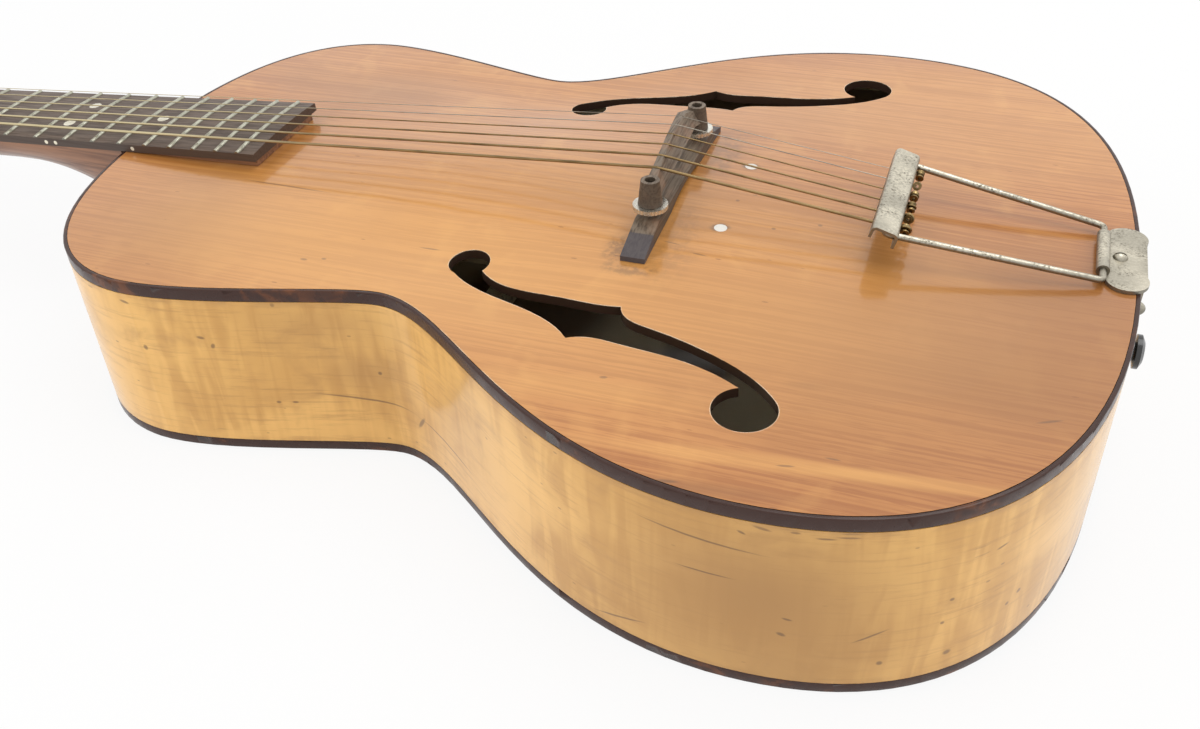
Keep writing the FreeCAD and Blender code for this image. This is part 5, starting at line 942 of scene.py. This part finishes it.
class GUITAR_OT_strings(bpy.types.Operator):
    """Replaces the strings by lengths that follow the saddle and the tailpiece"""
    bl_idname = "guitar.strings"
    bl_label = "Strings"

    def execute(self, context):
        look = context.scene.guitar_finish
        plain = wound("string_plain", look.steel, look.string_worn, 1.0)
        bronze = wound("string_wound", look.bronze, look.string_worn, 900.0)
        ring_brass = plated("ring_brass", look.brass, look.nickel_pit, 700.0, 0.25)
        nut_low, nut_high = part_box("nut")
        nut_place = (nut_low.x + nut_high.x) / 2
        bend_reach = (nut_high.x - nut_low.x) / 2
        for node in STRINGS:
            points = node_points(node)
            crest = max(points, key=lambda point: point.z)
            saddle, diameter = slice_centre(points, crest.x, bend_reach)
            nut = slice_centre(points, nut_place, bend_reach)[0]
            tail = max(point.x for point in points)
            ball, ball_width = slice_centre(points, tail, bend_reach)
            ball.x = tail - ball_width / 2
            middle = saddle.lerp(ball, 0.5)
            lengths = [
                straight_string(node + "_speaking", nut, saddle, diameter),
                straight_string(node + "_behind", saddle, middle, diameter),
                straight_string(node + "_tail", middle, ball, diameter),
            ]
            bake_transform(lengths[0])
            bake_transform(lengths[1])
            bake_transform(lengths[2])
            wraps = string_wraps(node + "_wraps", node, nut.x)
            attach(wraps, "guitar")
            ring = ball_ring(node + "_ring", ball, ball_width / 2, ball_width, diameter, RING_LEANS[node])
            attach(ring, "tailpiece")
            for piece in (*lengths, wraps, ring):
                paint(plain if node in PLAIN_STRINGS else bronze, piece.name)
            paint(ring_brass, ring.name)
            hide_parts(node)
        return {"FINISHED"}


class GUITAR_OT_stage(bpy.types.Operator):
    """Sets up the floor, the lights and the camera"""
    bl_idname = "guitar.stage"
    bl_label = "Stage"

    def execute(self, context):
        stage = context.scene.guitar_stage
        context.scene.view_settings.view_transform = "Standard"
        self.sky(context, stage)
        self.floor(stage)
        self.lamps(context, stage)
        self.camera(context, stage)
        return {"FINISHED"}

    def seen(self, tree):
        """Gives one for rays from the camera and in gloss and glass, and zero for other light."""
        path = tree.nodes.new("ShaderNodeLightPath")
        total = path.outputs["Is Camera Ray"]
        for ray in ("Is Glossy Ray", "Is Transmission Ray"):
            either = tree.nodes.new("ShaderNodeMath")
            either.operation = "MAXIMUM"
            tree.links.new(total, either.inputs[0])
            tree.links.new(path.outputs[ray], either.inputs[1])
            total = either.outputs[0]
        return total

    def plain_white(self, tree, stage):
        """Gives the share of plain white in the floor's look, which grows away from the guitar."""
        coords = tree.nodes.new("ShaderNodeTexCoord")
        mapping = tree.nodes.new("ShaderNodeMapping")
        mapping.vector_type = "TEXTURE"
        mapping.inputs["Scale"].default_value = (stage.shadow_reach,) * 3
        spot = tree.nodes.new("ShaderNodeTexGradient")
        spot.gradient_type = "SPHERICAL"
        share = tree.nodes.new("ShaderNodeMapRange")
        share.inputs["From Max"].default_value = SHADOW_EDGE
        share.inputs["To Min"].default_value = 1.0
        share.inputs["To Max"].default_value = stage.floor_white
        both = tree.nodes.new("ShaderNodeMath")
        both.operation = "MULTIPLY"
        tree.links.new(coords.outputs["Object"], mapping.inputs["Vector"])
        tree.links.new(mapping.outputs["Vector"], spot.inputs["Vector"])
        tree.links.new(spot.outputs["Fac"], share.inputs["Value"])
        tree.links.new(self.seen(tree), both.inputs[0])
        tree.links.new(share.outputs["Result"], both.inputs[1])
        return both.outputs[0]

    def show(self, tree, share, first, second, output):
        """Mixes two shaders by a share and shows the result."""
        mix = tree.nodes.new("ShaderNodeMixShader")
        for source, socket in zip((share, first.outputs[0], second.outputs[0]), mix.inputs):
            tree.links.new(source, socket)
        tree.links.new(mix.outputs[0], tree.nodes[output].inputs["Surface"])

    def sky(self, context, stage):
        """Even light from all round, seen as white."""
        world = bpy.data.worlds.new("studio_sky")
        world.use_nodes = True
        context.scene.world = world
        tree = world.node_tree
        light = tree.nodes["Background"]
        light.inputs["Color"].default_value = SKY_COLOUR
        light.inputs["Strength"].default_value = stage.sky_strength
        white = tree.nodes.new("ShaderNodeBackground")
        white.inputs["Color"].default_value = WHITE
        self.show(tree, self.seen(tree), light, white, "World Output")

    def floor(self, stage):
        """White floor that keeps a faint shadow."""
        shape = bmesh.new()
        bmesh.ops.create_grid(shape, x_segments=1, y_segments=1, size=stage.floor_size / 2)
        bmesh.ops.translate(shape, verts=shape.verts, vec=(0.0, 0.0, -stage.floor_gap))
        floor = add_piece("floor", shape)
        material = bpy.data.materials.new("white_floor")
        material.use_nodes = True
        tree = material.node_tree
        lit = next(n for n in tree.nodes if n.type == "BSDF_PRINCIPLED")
        lit.inputs["Base Color"].default_value = FLOOR_COLOUR
        lit.inputs["Roughness"].default_value = FLOOR_ROUGHNESS
        glow = tree.nodes.new("ShaderNodeEmission")
        self.show(tree, self.plain_white(tree, stage), lit, glow, "Material Output")
        floor.data.materials.append(material)

    def lamps(self, context, stage):
        """Soft lights overhead, on each side and behind; only the one overhead shows in the gloss."""
        for name, power, sizes, place in (
                ("key", stage.key_power, (1.0, 1.0), (0.35, 0.35, 1.5)),
                ("left", stage.left_power, (2.4, 2.0), (-1.7, -1.2, 1.02)),
                ("right", stage.right_power, (2.4, 2.0), (1.9, -0.7, 1.02)),
                ("back", stage.back_power, (2.4, 1.2), (-0.2, 2.0, 1.35))):
            lamp = bpy.data.lights.new(name, "AREA")
            lamp.energy = power
            lamp.shape = "RECTANGLE"
            lamp.size, lamp.size_y = sizes
            holder = bpy.data.objects.new(name, lamp)
            holder.location = place
            way = Vector(stage.lamp_aim) - Vector(place)
            holder.rotation_euler = way.to_track_quat("-Z", "Y").to_euler()
            holder.visible_glossy = name == "key"
            context.scene.collection.objects.link(holder)

    def camera(self, context, stage):
        """Camera at the photograph's place, looking down along the guitar's bass side."""
        lens = bpy.data.cameras.new("camera")
        lens.sensor_width = FILM_WIDTH
        lens.lens = stage.lens
        lens.clip_start = NEAREST_SEEN
        camera = bpy.data.objects.new("camera", lens)
        aim = Vector(stage.camera_aim).normalized()
        right = Vector(stage.camera_right).normalized()
        up = right.cross(aim)
        turn = Matrix((right, up, -aim)).transposed().to_4x4()
        camera.matrix_world = Matrix.Translation(stage.camera_place) @ turn
        context.scene.collection.objects.link(camera)
        context.scene.camera = camera


PIECES = (GUITAR_OT_top, GUITAR_OT_sides, GUITAR_OT_binding, GUITAR_OT_inside, GUITAR_OT_neck,
          GUITAR_OT_tuners, GUITAR_OT_bridge, GUITAR_OT_tailpiece, GUITAR_OT_strings, GUITAR_OT_stage)


class GUITAR_PT_panel(bpy.types.Panel):
    """Lists the guitar's pieces and settings"""
    bl_label = "Archtop guitar"
    bl_idname = "GUITAR_PT_panel"
    bl_space_type = "VIEW_3D"
    bl_region_type = "UI"
    bl_category = "Guitar"

    def draw(self, context):
        for piece in PIECES:
            self.layout.operator(piece.bl_idname)
        for group in (context.scene.guitar_finish, context.scene.guitar_stage):
            for name in group.__annotations__:
                self.layout.prop(group, name)


CLASSES = (GuitarFinish, GuitarStage, *PIECES, GUITAR_PT_panel)


def register():
    for made in CLASSES:
        bpy.utils.register_class(made)
    bpy.types.Scene.guitar_finish = PointerProperty(type=GuitarFinish)
    bpy.types.Scene.guitar_stage = PointerProperty(type=GuitarStage)


def unregister():
    del bpy.types.Scene.guitar_stage
    del bpy.types.Scene.guitar_finish
    for made in reversed(CLASSES):
        bpy.utils.unregister_class(made)


def main():
    register()
    bpy.ops.guitar.top()
    bpy.ops.guitar.sides()
    bpy.ops.guitar.binding()
    bpy.ops.guitar.inside()
    bpy.ops.guitar.neck()
    bpy.ops.guitar.tuners()
    bpy.ops.guitar.bridge()
    bpy.ops.guitar.tailpiece()
    bpy.ops.guitar.strings()
    bpy.ops.guitar.stage()


if __name__ == "__main__":
    main()
